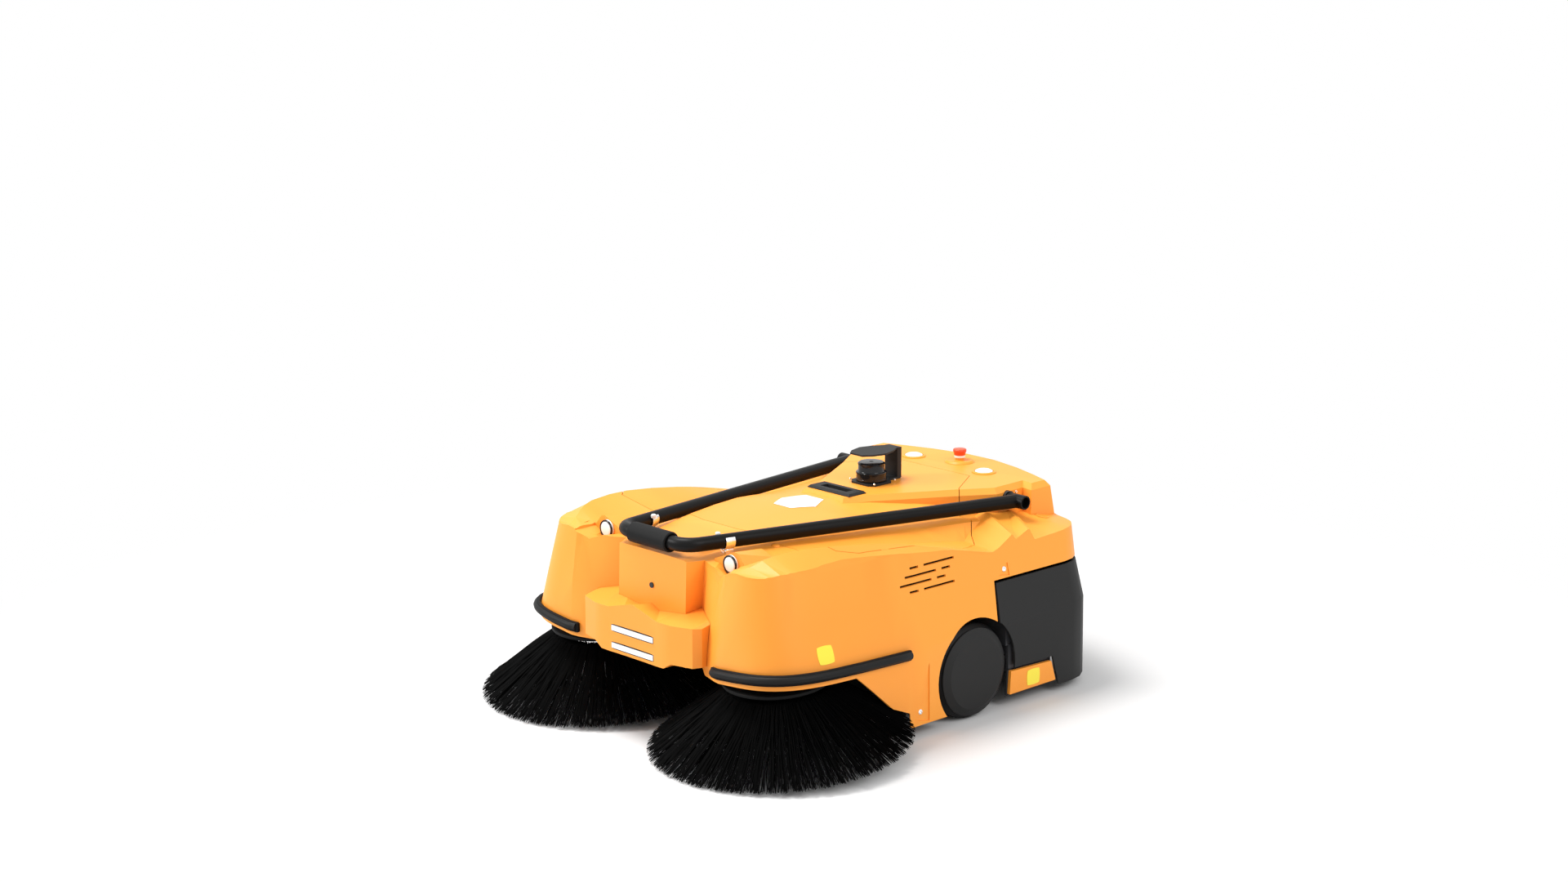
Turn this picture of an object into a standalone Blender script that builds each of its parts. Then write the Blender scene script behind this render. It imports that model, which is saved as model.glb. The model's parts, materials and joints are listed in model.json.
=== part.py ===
"""Autonomous sweeper robot: a low cowled body with two front side brushes, two drive wheels,
rear castors, a folding push handle and a slide-out debris hopper.

Model frame: +Z up, ground at z = 0, front faces -Y, the machine's left is +X. Metres throughout.
"""
import math

import bmesh
import bpy
from mathutils import Matrix, Vector

for leftover in list(bpy.data.objects):
    bpy.data.objects.remove(leftover, do_unlink=True)

# Driving dimensions
HALF_WIDTH = 0.375
HALF_LENGTH = 0.500
DECK_HEIGHT = 0.400
WHEEL_RADIUS = 0.095
CASTOR_RADIUS = 0.0375
TUBE_RADIUS = 0.014

# Walls and clearances
COWL_WALL = 0.0045
HOPPER_WALL = 0.004
SHEET = 0.004
PLATE = 0.008
SEAT_GAP = 0.0003
PANEL_GAP = 0.0015
MOVING_GAP = 0.0055
OVERRUN = 0.060

SIDES = ((1, "left"), (-1, "right"))

# Colour, roughness and metallic value of each material
FINISHES = {
    "orange_plastic": ((1.0, 0.42, 0.07), 0.42, 0.0),
    "dark_panel": ((0.045, 0.045, 0.045), 0.55, 0.0),
    "black_plastic": ((0.018, 0.018, 0.018), 0.4, 0.0),
    "grip_foam": ((0.03, 0.03, 0.03), 0.85, 0.0),
    "handle_steel": ((0.03, 0.03, 0.03), 0.6, 0.3),
    "tyre_rubber": ((0.016, 0.016, 0.016), 0.75, 0.0),
    "bristle": ((0.008, 0.008, 0.008), 0.6, 0.0),
    "chrome": ((0.9, 0.9, 0.9), 0.12, 1.0),
    "white_lens": ((0.92, 0.92, 0.9), 0.25, 0.0),
    "red_button": ((1.0, 0.075, 0.02), 0.35, 0.0),
    "dark_steel": ((0.05, 0.05, 0.055), 0.5, 0.7),
    "motor_metal": ((0.35, 0.36, 0.37), 0.4, 0.8),
    "battery_case": ((0.06, 0.07, 0.08), 0.5, 0.0),
}


def across(share):
    return share * HALF_WIDTH


def along(share):
    return share * HALF_LENGTH


def up(share):
    return share * DECK_HEIGHT


def finish(name):
    """Principled material of the given name, made once."""
    material = bpy.data.materials.get(name)
    if material is None:
        colour, roughness, metallic = FINISHES[name]
        material = bpy.data.materials.new(name)
        material.use_nodes = True
        shader = material.node_tree.nodes["Principled BSDF"]
        shader.inputs["Base Color"].default_value = (*colour, 1.0)
        shader.inputs["Roughness"].default_value = roughness
        shader.inputs["Metallic"].default_value = metallic
        material.diffuse_color = (*colour, 1.0)
    return material


def link(obj, parent=None):
    bpy.context.scene.collection.objects.link(obj)
    if parent is not None:
        obj.parent = parent
        obj.matrix_parent_inverse = Matrix.Translation(-parent.location)
    return obj


def node(name, work, finish_name, parent=None):
    """Turn a finished bmesh into one named, closed object with outward faces."""
    bmesh.ops.recalc_face_normals(work, faces=work.faces)
    mesh = bpy.data.meshes.new(name)
    work.to_mesh(mesh)
    work.free()
    mesh.materials.append(finish(finish_name))
    return link(bpy.data.objects.new(name, mesh), parent)


def pivot(name, place):
    """Parent empty on a joint's axis."""
    empty = bpy.data.objects.new(name, None)
    empty.location = place
    return link(empty)


def loft(rings):
    """Close a stack of equal-length rings into a solid."""
    work = bmesh.new()
    rows = [[work.verts.new(point) for point in ring] for ring in rings]
    for lower, upper in zip(rows, rows[1:]):
        for i, vert in enumerate(lower):
            j = (i + 1) % len(lower)
            work.faces.new((vert, lower[j], upper[j], upper[i]))
    work.faces.new(list(reversed(rows[0])))
    work.faces.new(rows[-1])
    bmesh.ops.recalc_face_normals(work, faces=work.faces)
    return work


def slab(outline, low, high):
    """Extrude a plan outline of (x, y) between two heights."""
    return loft([[(x, y, z) for x, y in outline] for z in (low, high)])


def box(x_span, y_span, z_span):
    corners = [(x_span[0], y_span[0]), (x_span[1], y_span[0]), (x_span[1], y_span[1]), (x_span[0],
                                                                                        y_span[1])]
    return slab(corners, z_span[0], z_span[1])


def side_box(side, x_span, y_span, z_span):
    """Box on one side of the machine, its x span measured outward from the middle."""
    return box(sorted((side * x_span[0], side * x_span[1])), y_span, z_span)


def turned(profile, centre, axis="Z", steps=32):
    """Revolve (radius, along) points about an axis through centre; ends on the axis close it."""
    work = bmesh.new()
    rings = []
    for radius, reach in profile:
        ring = []
        if radius == 0:
            ring.append((0.0, 0.0, reach))
        else:
            for k in range(steps):
                angle = 2 * math.pi * k / steps
                ring.append((radius * math.cos(angle), radius * math.sin(angle), reach))
        rings.append([work.verts.new(point) for point in ring])
    pairs = list(zip(rings, rings[1:]))
    if profile[0][0] != 0:
        pairs.append((rings[-1], rings[0]))
    for first, second in pairs:
        for k in range(steps):
            n = (k + 1) % steps
            if len(first) == 1:
                work.faces.new((first[0], second[k], second[n]))
            elif len(second) == 1:
                work.faces.new((first[k], first[n], second[0]))
            else:
                work.faces.new((first[k], first[n], second[n], second[k]))
    bmesh.ops.recalc_face_normals(work, faces=work.faces)
    turn = {"Z": Matrix.Identity(4),
            "X": Matrix.Rotation(math.pi / 2, 4, "Y"),
            "Y": Matrix.Rotation(-math.pi / 2, 4, "X")}[axis]
    bmesh.ops.transform(work, matrix=Matrix.Translation(centre) @ turn, verts=work.verts)
    return work


def disc(radius, low, high, centre, axis="Z", steps=32):
    return turned([(0, low), (radius, low), (radius, high), (0, high)], centre, axis, steps)


def side_disc(side, radius, x_span, centre, steps=20):
    """Disc about the X direction on one side of the machine."""
    low, high = sorted((side * x_span[0], side * x_span[1]))
    return disc(radius, low, high, (0.0, centre[0], centre[1]), "X", steps)


def swept(path, radius, sides=12):
    """Round bar along a list of points, its ends square to the path."""
    rings = []
    points = [Vector(p) for p in path]
    vertical = Vector((0.0, 0.0, 1.0))
    for i, point in enumerate(points):
        ahead = points[min(i + 1, len(points) - 1)] - points[max(i - 1, 0)]
        ahead.normalize()
        side = ahead.cross(vertical).normalized()
        over = side.cross(ahead).normalized()
        ring = []
        for k in range(sides):
            angle = 2 * math.pi * k / sides
            ring.append(point + radius * (math.cos(angle) * side + math.sin(angle) * over))
        rings.append(ring)
    return loft(rings)


def gathered(works):
    """Several separate bmeshes as one, for a single cut or union."""
    whole = bmesh.new()
    for work in works:
        mesh = bpy.data.meshes.new("gathered")
        work.to_mesh(mesh)
        work.free()
        whole.from_mesh(mesh)
        bpy.data.meshes.remove(mesh)
    return whole


def mirrored(half):
    """Full outline from its right half, front centre to rear centre."""
    return half + [(-x, y) for x, y in reversed(half) if x > 0]


def shrunk(outline, inset):
    """Closed outline, counter-clockwise, with every edge moved inward by inset."""
    result = []
    for i, point in enumerate(outline):
        here = Vector(point)
        before = (here - Vector(outline[i - 1])).normalized()
        after = (Vector(outline[(i + 1) % len(outline)]) - here).normalized()
        inward = Vector((-before.y - after.y, before.x + after.x))
        result.append(tuple(here + inward * inset / (1 + before.dot(after))))
    return result


VOLUME_MATCH = 0.01


def closed(work):
    """True where a bmesh has faces and every edge joins two of them."""
    return len(work.faces) > 0 and all(len(edge.link_faces) == 2 for edge in work.edges)


def same_solid(exact, manifold):
    """True where the EXACT result is sound: closed, and as large as the MANIFOLD one."""
    if not closed(manifold):
        return True
    size = manifold.calc_volume()
    return closed(exact) and abs(exact.calc_volume() - size) <= VOLUME_MATCH * abs(size)


def combine(base, other, operation):
    """Boolean of two bmeshes, both used up: EXACT, with MANIFOLD where EXACT loses faces."""
    first = bpy.data.meshes.new("base")
    base.to_mesh(first)
    base.free()
    second = bpy.data.meshes.new("tool")
    other.to_mesh(second)
    other.free()
    holder = link(bpy.data.objects.new("base", first))
    tool = link(bpy.data.objects.new("tool", second))
    change = holder.modifiers.new("change", "BOOLEAN")
    change.operation = operation
    change.object = tool
    results = []
    for solver in ("EXACT", "MANIFOLD"):
        change.solver = solver
        bpy.context.view_layer.update()
        seen = holder.evaluated_get(bpy.context.evaluated_depsgraph_get())
        result = bmesh.new()
        result.from_mesh(seen.to_mesh())
        results.append(result)
    result = results[0] if same_solid(*results) else results[1]
    bpy.data.objects.remove(holder, do_unlink=True)
    bpy.data.objects.remove(tool, do_unlink=True)
    bpy.data.meshes.remove(first)
    bpy.data.meshes.remove(second)
    return result


def cut(base, tool):
    return combine(base, tool, "DIFFERENCE")


def fuse(base, tool):
    return combine(base, tool, "UNION")


def overlap(base, tool):
    return combine(base, tool, "INTERSECT")


def side_loft(stations):
    """Loft across the machine between side-view outlines; each station is an x and its (y, z) shares."""
    return loft([[(x, along(y), up(z)) for y, z in shares] for x, shares in stations])


def side_prism(shares, reach):
    """Side-view outline of (y, z) shares, extruded across the body to both sides."""
    return side_loft(((-reach, shares), (reach, shares)))


def front_loft(side, stations):
    """Loft along the machine; each station is a y share and its front-view (x, z) shares."""
    return loft([[(side * across(x), along(y), up(z)) for x, z in shares] for y, shares in stations])


# Heights that the running gear sets
MOTOR_RADIUS = 0.045
RAIL_CLEARANCE = 0.038
RAIL_DEPTH = 0.019
RAIL_LOW = WHEEL_RADIUS + MOTOR_RADIUS + RAIL_CLEARANCE
RAIL_HIGH = RAIL_LOW + RAIL_DEPTH
FORK_CROWN = 0.012
FORK_CLEARANCE = 0.0177
FORK_TOP = 2 * CASTOR_RADIUS + FORK_CLEARANCE + FORK_CROWN
CASTOR_RAIL_LOW = FORK_TOP + SEAT_GAP
CASTOR_RAIL_DEPTH = 0.025
CASTOR_RAIL_HIGH = CASTOR_RAIL_LOW + CASTOR_RAIL_DEPTH
WHEEL_PLACE_SHARE = 0.252
WHEEL_Y = along(WHEEL_PLACE_SHARE)
ARCH_CLEARANCE = 0.014
ARCH_RADIUS = WHEEL_RADIUS + ARCH_CLEARANCE

# Side brushes lean forward, so that they sweep on their front edge and meet on the centre line
BRUSH_PLACE_SHARES = (0.672, -0.566)
BRUSH_LEAN = math.radians(5.0)
BRUSH_FLOOR = 0.002
BRUSH_HUB_SHARE = 0.418
BRUSH_HUB_DEPTH = 0.011
BRUSH_FLANGE_DEPTH = 0.008
BRUSH_HUB_CLEARANCE = 0.014
BRUSH_X = across(BRUSH_PLACE_SHARES[0])
BRUSH_REACH = BRUSH_X - MOVING_GAP / 2
BRUSH_HUB_RADIUS = BRUSH_REACH * BRUSH_HUB_SHARE
BRUSH_RING = Vector((0.0, along(BRUSH_PLACE_SHARES[1]), BRUSH_FLOOR + BRUSH_REACH * math.sin(BRUSH_LEAN)))
BRUSH_HUB_TOP = ((RAIL_LOW - BRUSH_HUB_CLEARANCE - BRUSH_RING.z - BRUSH_HUB_RADIUS * math.sin(BRUSH_LEAN))
                 / math.cos(BRUSH_LEAN))
BRUSH_HUB_BASE = BRUSH_HUB_TOP - BRUSH_HUB_DEPTH


def leaned(work, side=0):
    """Carry a piece made upright over the origin to one brush's leaning axis."""
    turn = Matrix.Translation(BRUSH_RING + Vector((side * BRUSH_X, 0.0, 0.0)))
    bmesh.ops.transform(work, matrix=turn @ Matrix.Rotation(BRUSH_LEAN, 4, "X"), verts=work.verts)
    return work


# Bristle skirt: profile in shares of its reach and of its height, root to tip and back inside
SKIRT_ROOT_SHARE = 0.58
SKIRT_MIDDLE_SHARES = (0.700, 0.46)
SKIRT_TIP_SHARE = 0.06
SKIRT_THICKNESS_SHARE = 0.12
SKIRT_INSIDE_SHARES = (0.45, 0.42)


def brush_room(gap):
    """Space that one brush sweeps, upright over the origin, with a gap all round."""
    edge = BRUSH_HUB_BASE - BRUSH_FLANGE_DEPTH + gap
    middle_reach, middle_height = SKIRT_MIDDLE_SHARES
    return turned([(0, -OVERRUN), (BRUSH_REACH + gap, -OVERRUN),
                   (BRUSH_REACH + gap, BRUSH_HUB_BASE * SKIRT_TIP_SHARE + gap),
                   (BRUSH_REACH * middle_reach + gap, BRUSH_HUB_BASE * middle_height + gap),
                   (BRUSH_HUB_RADIUS + gap, edge), (BRUSH_HUB_RADIUS + gap, BRUSH_HUB_TOP + gap),
                   (0, BRUSH_HUB_TOP + gap)], (0.0, 0.0, 0.0), "Z", 48)


# Cowl walls: plan outline at five heights, in shares of half width, half length and deck height.
# Each row: height, nose front, nose side, groove, pod inner edge, pod front, front flank, flank,
# rear corner, rear.
WALL_LEVEL_SHARES = (
    (-0.050, -0.766, 0.258, (0.262, -0.690), (0.416, -0.776), -0.814, 1.018, 1.000, 1.020, 1.186),
    (0.450, -0.766, 0.258, (0.262, -0.690), (0.416, -0.776), -0.814, 1.018, 1.000, 1.008, 1.160),
    (0.655, -0.766, 0.258, (0.266, -0.690), (0.456, -0.770), -0.804, 0.941, 0.936, 0.985, 1.126),
    (0.895, -0.760, 0.258, (0.301, -0.696), (0.544, -0.766), -0.778, 0.867, 0.890, 0.976, 1.092),
    (1.050, -0.757, 0.258, (0.320, -0.700), (0.560, -0.757), -0.764, 0.822, 0.860, 0.976, 1.074),
)
WALL_STRAIGHT_SHARE = WALL_LEVEL_SHARES[1][0]
FENDER_CENTRE_SHARES = (0.573, -0.400)
FENDER_SQUARENESS = 3.6
REAR_CENTRE_SHARES = (0.690, 0.820)
FLANK_FULL_SHARE = -0.040
FENDER_STEPS = 12
FLANK_STEPS = 4
REAR_STEPS = 5


def wall_outline(level, inset):
    """Plan outline of the cowl at one level, moved inward by inset."""
    height, nose, nose_side, groove, pod_edge, pod, front_flank, flank, rear_side, rear = level
    half = [(across(nose_side) - inset, along(nose) + inset),
            (across(groove[0]), along(groove[1]) + inset * 2),
            (across(pod_edge[0]) + inset / 2, along(pod_edge[1]) + inset)]
    centre_x = across(FENDER_CENTRE_SHARES[0])
    centre_y = along(FENDER_CENTRE_SHARES[1])
    reach_x = across(front_flank) - inset - centre_x
    reach_y = centre_y - along(pod) - inset
    for k in range(FENDER_STEPS + 1):
        angle = math.pi / 2 * k / FENDER_STEPS
        power = 2 / FENDER_SQUARENESS
        half.append((centre_x + reach_x * math.sin(angle) ** power,
                     centre_y - reach_y * abs(math.cos(angle)) ** power))
    start_x, start_y = half[-1]
    full_x, full_y = across(flank) - inset, along(FLANK_FULL_SHARE)
    for k in range(1, FLANK_STEPS + 1):
        share = k / FLANK_STEPS
        half.append((start_x + (full_x - start_x) * share, start_y + (full_y - start_y) * share))
    rear_x = across(REAR_CENTRE_SHARES[0])
    rear_y = along(REAR_CENTRE_SHARES[1])
    reach_x = across(flank) - inset - rear_x
    corner_y = along(rear_side) - inset
    for k in range(REAR_STEPS + 1):
        angle = math.pi / 2 * k / REAR_STEPS
        half.append((rear_x + reach_x * math.cos(angle), rear_y + (corner_y - rear_y) * math.sin(angle)))
    rear_end = along(rear) - inset
    for k in range(1, REAR_STEPS):
        share = 1 - k / REAR_STEPS
        half.append((rear_x * share, rear_end - (rear_end - corner_y) * share ** 2))
    return mirrored(half)


def outline_at(height, inset):
    """Cowl outline at any height, between the table's levels."""
    rows = WALL_LEVEL_SHARES
    share = height / DECK_HEIGHT
    index = 0
    while index < len(rows) - 2 and share > rows[index + 1][0]:
        index += 1
    mix = (share - rows[index][0]) / (rows[index + 1][0] - rows[index][0])
    lower = wall_outline(rows[index], inset)
    upper = wall_outline(rows[index + 1], inset)
    return [(a[0] + (b[0] - a[0]) * mix, a[1] + (b[1] - a[1]) * mix) for a, b in zip(lower, upper)]


def walls(inset, low, high):
    """Solid inside the cowl's walls between two heights, every table level carried over."""
    levels = [up(row[0]) for row in WALL_LEVEL_SHARES]
    heights = sorted({low, high} | {level for level in levels if low < level < high})
    return loft([[(x, y, height) for x, y in outline_at(height, inset)] for height in heights])


# Crown: top profile at stations along the body. Each point is a share of half width and deck height.
CROWN_STATION_SHARES = (
    (-0.960, ((0.09, 0.898), (0.235, 0.896), (0.27, 0.890), (0.36, 0.888), (0.50, 0.892), (0.64, 0.900),
              (0.75, 0.884), (1.15, 0.85))),
    (-0.766, ((0.09, 0.902), (0.235, 0.900), (0.27, 0.893), (0.36, 0.890), (0.51, 0.900), (0.65, 0.920),
              (0.80, 0.905), (1.15, 0.86))),
    (-0.680, ((0.09, 0.921), (0.225, 0.919), (0.26, 0.904), (0.37, 0.900), (0.53, 0.903), (0.70, 0.967),
              (0.85, 0.915), (1.15, 0.87))),
    (-0.600, ((0.09, 0.938), (0.215, 0.935), (0.25, 0.915), (0.38, 0.905), (0.54, 0.905), (0.736, 0.990),
              (0.868, 0.915), (1.15, 0.87))),
    (-0.382, ((0.09, 0.960), (0.275, 0.955), (0.31, 0.918), (0.42, 0.905), (0.57, 0.903), (0.790, 0.984),
              (0.884, 0.914), (1.15, 0.87))),
    (-0.090, ((0.09, 0.974), (0.340, 0.960), (0.38, 0.904), (0.47, 0.893), (0.60, 0.875), (0.828, 0.934),
              (0.888, 0.896), (1.15, 0.87))),
    (0.088, ((0.09, 0.978), (0.385, 0.935), (0.43, 0.899), (0.51, 0.885), (0.63, 0.856), (0.873, 0.886),
             (0.897, 0.867), (1.15, 0.86))),
    (0.202, ((0.09, 0.978), (0.410, 0.928), (0.455, 0.894), (0.54, 0.876), (0.65, 0.840), (0.885, 0.853),
             (0.905, 0.848), (1.15, 0.84))),
    (0.382, ((0.09, 0.976), (0.455, 0.920), (0.50, 0.888), (0.585, 0.872), (0.68, 0.812), (0.880, 0.803),
             (0.909, 0.797), (1.15, 0.79))),
    (0.480, ((0.09, 0.970), (0.480, 0.915), (0.525, 0.885), (0.61, 0.870), (0.69, 0.790), (0.880, 0.786),
             (0.909, 0.785), (1.15, 0.78))),
    (1.240, ((0.09, 0.800), (0.480, 0.800), (0.525, 0.800), (0.61, 0.800), (0.69, 0.785), (0.880, 0.785),
             (0.909, 0.785), (1.15, 0.78))),
)


CROWN_STEPS = 2


def crown_rows():
    """Crown stations with smoothly curved ones between them, up to the straight rear run."""
    rows = CROWN_STATION_SHARES
    last = len(rows) - 1

    def slope(row, point, part):
        before, after = rows[max(row - 1, 0)], rows[min(row + 1, last)]
        return (after[1][point][part] - before[1][point][part]) / (after[0] - before[0])

    full = []
    for i in range(last - 1):
        (start, first), (end, second) = rows[i], rows[i + 1]
        for k in range(CROWN_STEPS):
            mix = k / CROWN_STEPS
            length = end - start
            ease = mix * mix * (3 - 2 * mix)
            profile = []
            for point, (a, b) in enumerate(zip(first, second)):
                profile.append([a[part] + (b[part] - a[part]) * ease
                                + length * slope(i, point, part) * mix * (1 - mix) ** 2
                                - length * slope(i + 1, point, part) * mix ** 2 * (1 - mix) for part in (0,
                                                                                                         1)])
            full.append((start + length * mix, profile))
    return full + list(rows[last - 1:])


def crown(drop):
    """Solid under the crown surface, lowered by drop, reaching below the floor."""
    rings = []
    for y_share, profile in crown_rows():
        top = [(across(x), up(z) - drop) for x, z in profile]
        edge = top[-1][0]
        full = [(-x, z) for x, z in reversed(top)] + top + [(edge, -OVERRUN), (-edge, -OVERRUN)]
        rings.append([(x, along(y_share), z) for x, z in full])
    return loft(rings)


def between(points, value):
    """Straight-line reading of (place, height) points at a place."""
    index = 0
    while index < len(points) - 2 and value > points[index + 1][0]:
        index += 1
    first, second = points[index], points[index + 1]
    mix = max(0.0, (value - first[0]) / (second[0] - first[0]))
    return first[1] + (second[1] - first[1]) * mix


def crown_height(x, y):
    """Height of the crown surface over a place."""
    lines = [(along(y_share), up(between(profile, abs(x) / HALF_WIDTH)))
             for y_share, profile in crown_rows()]
    return between(lines, y)


# Raised rear deck with the sensor hump, in shares of half width and half length
DECK_PLAN_SHARES = ((0.165, 0.130), (0.213, 0.244), (0.451, 0.562), (0.573, 0.704), (0.567, 0.864),
                    (0.643, 0.854), (0.640, 0.972), (0.496, 1.014), (0.325, 1.056), (0.110, 1.090))
DECK_SPREAD = 0.010
DECK_TOP_SHARE = 0.990
DECK_EDGE_SHARE = 0.962
DECK_FOOT_SHARE = 0.780
DECK_TOP = up(DECK_TOP_SHARE)


def rear_deck(inset):
    """Raised deck: straight draft sides under a shallow crowned top."""
    plan = mirrored([(across(x), along(y)) for x, y in DECK_PLAN_SHARES])

    def ring(spread, height):
        return [(x, y, height) for x, y in shrunk(plan, inset - spread)]

    foot = up(DECK_FOOT_SHARE) - (OVERRUN if inset else 0.0)
    return loft([ring(DECK_SPREAD, foot), ring(0.0, up(DECK_EDGE_SHARE) - inset),
                 ring(-DECK_SPREAD, DECK_TOP - inset)])


# Shoulder fins beside the deck: side-view profiles at their outer and inner ends
FIN_OUTER_SHARES = ((0.373, 0.780), (0.427, 0.7975), (0.497, 0.844), (0.517, 0.814), (0.585, 0.855),
                    (0.621, 0.7875), (0.873, 0.803), (0.960, 0.797), (1.200, 0.790))
FIN_INNER_SHARES = ((0.425, 0.800), (0.514, 0.842), (0.643, 0.889), (0.675, 0.876), (0.779, 0.872),
                    (0.815, 0.862), (0.840, 0.853), (1.010, 0.820), (1.200, 0.800))
FIN_REACH_SHARES = (0.980, 0.550)


def shoulder_fins(side, drop):
    """Stepped shoulder from the lid seam back to the rear shelf."""
    rings = []
    foot = up(DECK_FOOT_SHARE) - drop - OVERRUN
    for reach, profile in zip(FIN_REACH_SHARES, (FIN_OUTER_SHARES, FIN_INNER_SHARES)):
        top = [(along(y), up(z) - drop) for y, z in profile]
        full = top + [(top[-1][0], foot), (top[0][0], foot)]
        rings.append([(side * across(reach), y, z) for y, z in full])
    return loft(rings)


def shell_form(inset):
    """Outer form of the cowl, or with an inset the space inside its wall."""
    low = up(COWL_LOW_SHARE) - inset * 2
    form = crown(inset)
    for side, word in SIDES:
        form = fuse(form, shoulder_fins(side, 3 * inset))
    form = overlap(form, walls(inset, low, up(WALL_LEVEL_SHARES[-1][0])))
    return fuse(form, rear_deck(inset))


# Lower edge of the cowl from the side, in shares of half length and deck height. Past the inner
# station the fender's edge rises outward with its rubber strip.
COWL_LOW_SHARE = 0.0625
SKIRT_STATION_SHARES = (0.533, 1.160)
SKIRT_INNER_SHARES = ((-1.10, 0.396), (-0.400, 0.363), (-0.340, 0.300), (-0.200, 0.170), (-0.130, 0.080),
                      (-0.114, 0.0625), (0.060, 0.0625), (0.060, -0.20), (-1.10, -0.20))
SKIRT_OUTER_SHARES = ((-1.10, 0.449), (-0.430, 0.412), (-0.340, 0.320), (-0.200, 0.170), (-0.130, 0.080),
                      (-0.114, 0.0625), (0.060, 0.0625), (0.060, -0.20), (-1.10, -0.20))
REAR_CUT_SHARES = ((0.360, -0.20), (0.368, 0.4475), (0.394, 0.655), (1.30, 0.655), (1.30, -0.20))


def cowl_shell():
    """Cowl wall as one hollow moulding, before the lid is parted from it."""
    outer = cut(shell_form(0.0), shell_form(COWL_WALL))
    inner_x, outer_x = [across(share) for share in SKIRT_STATION_SHARES]
    outer = cut(outer, side_loft(((-outer_x, SKIRT_OUTER_SHARES), (-inner_x, SKIRT_INNER_SHARES),
                                  (inner_x, SKIRT_INNER_SHARES), (outer_x, SKIRT_OUTER_SHARES))))
    reach = HALF_WIDTH + OVERRUN
    outer = cut(outer, side_prism(REAR_CUT_SHARES, reach))
    outer = cut(outer, side_disc(1, ARCH_RADIUS, (-reach, reach), (WHEEL_Y, WHEEL_RADIUS), 48))
    for side, word in SIDES:
        outer = cut(outer, leaned(brush_room(MOVING_GAP), side))
    return outer


# Lid over the machine's middle, parted from the cowl along this plan
LID_PLAN_SHARES = ((0.12, -0.415), (0.27, -0.392), (0.46, -0.345), (0.60, -0.375), (0.755, -0.432),
                   (0.815, -0.385), (0.848, -0.288), (0.855, 0.000), (0.848, 0.289), (0.765, 0.420),
                   (0.680, 0.470), (0.592, 0.540), (0.530, 0.525), (0.425, 0.600), (0.270, 0.790))


def lid_prism(inset):
    """Upright prism over the lid's seam, its outline moved inward by inset."""
    plan = mirrored([(across(x), along(y)) for x, y in LID_PLAN_SHARES])
    return slab(shrunk(plan, inset), up(DECK_FOOT_SHARE) / 2, DECK_HEIGHT + OVERRUN)


# Lugs that centre the lid in the cowl, at places along its side seams
LUG_PLACE_SHARES = (-0.150, 0.200)
LUG_HALF_LENGTH = 0.010


def lid_form():
    """Room of the lid inside its seam, reaching to the cowl at the lugs."""
    span = (up(DECK_FOOT_SHARE) / 2, DECK_HEIGHT + OVERRUN)
    bars = gathered([box((-HALF_WIDTH, HALF_WIDTH), (along(y) - LUG_HALF_LENGTH,
                                                     along(y) + LUG_HALF_LENGTH), span)
                     for y in LUG_PLACE_SHARES])
    return fuse(lid_prism(PANEL_GAP), overlap(lid_prism(SEAT_GAP), bars))


# Lamp pods: raised cowls over the fenders, each with a niche for its lamp, in front-view shares
LAMP_PLACE_SHARES = (0.477, -0.680, 0.910)
LAMP_RADIUS = 0.018
LAMP_DEPTH = 0.004
LAMP_RIM = 0.0015
POD_STATION_SHARES = (
    (-0.680, ((0.352, 0.915), (0.501, 0.9725), (0.528, 0.9675), (0.581, 0.910), (0.581, 0.870), (0.352,
                                                                                                 0.870))),
    (-0.490, ((0.352, 0.895), (0.419, 0.930), (0.440, 0.9275), (0.523, 0.898), (0.523, 0.870), (0.352,
                                                                                                0.870))),
)
NICHE_STATION_SHARES = (
    (-0.680, ((0.347, 0.920), (0.461, 0.8625), (0.581, 0.910), (0.581, 1.075), (0.347, 1.075))),
    (-0.860, ((0.406, 0.945), (0.568, 0.878), (0.600, 0.900), (0.600, 1.075), (0.406, 1.075))),
)
LAMP_SEAT_SHARES = ((0.341, 0.610), (-0.840, -0.668), (0.835, 0.960))


def lamp_place(side):
    x, y, z = LAMP_PLACE_SHARES
    return Vector((side * across(x), along(y), up(z)))


def fit_lamp_pods(shell):
    """Raise the pods on the cowl and sink each lamp's niche, with a solid seat behind it."""
    x_span, y_span, z_span = LAMP_SEAT_SHARES
    seats = gathered([side_box(side, [across(x) for x in x_span], [along(y) for y in y_span],
                               [up(z) for z in z_span]) for side, word in SIDES])
    shell = fuse(shell, overlap(seats, shell_form(0.0)))
    shell = fuse(shell, gathered([front_loft(side, POD_STATION_SHARES) for side, word in SIDES]))
    shell = cut(shell, gathered([front_loft(side, NICHE_STATION_SHARES) for side, word in SIDES]))
    return cut(shell, gathered([disc(LAMP_RADIUS + PANEL_GAP, -LAMP_RADIUS, 0.0, lamp_place(side), "Y", 28)
                                for side, word in SIDES]))


# Cooling slots in each flank: rows of a height with two runs of y, in shares
SLOT_ROW_SHARES = (
    (0.819, ((-0.058, -0.012), (0.018, 0.186))),
    (0.781, ((-0.088, 0.082), (0.112, 0.160))),
    (0.744, ((-0.120, 0.052), (0.082, 0.130))),
    (0.707, ((-0.072, -0.024), (0.006, 0.176))),
)
SLOT_HEIGHT = 0.0046
SLOT_DEPTH = 0.030

# Shallow three-cornered reliefs at the cowl's screws, in side-view shares
RELIEF_DEPTH = 0.002
LOW_RELIEF_SHARES = ((-0.018, 0.365), (-0.078, 0.0875), (-0.014, 0.0725))
HIGH_RELIEF_SHARES = ((0.480, 0.7275), (0.428, 0.672), (0.486, 0.6625))


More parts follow.
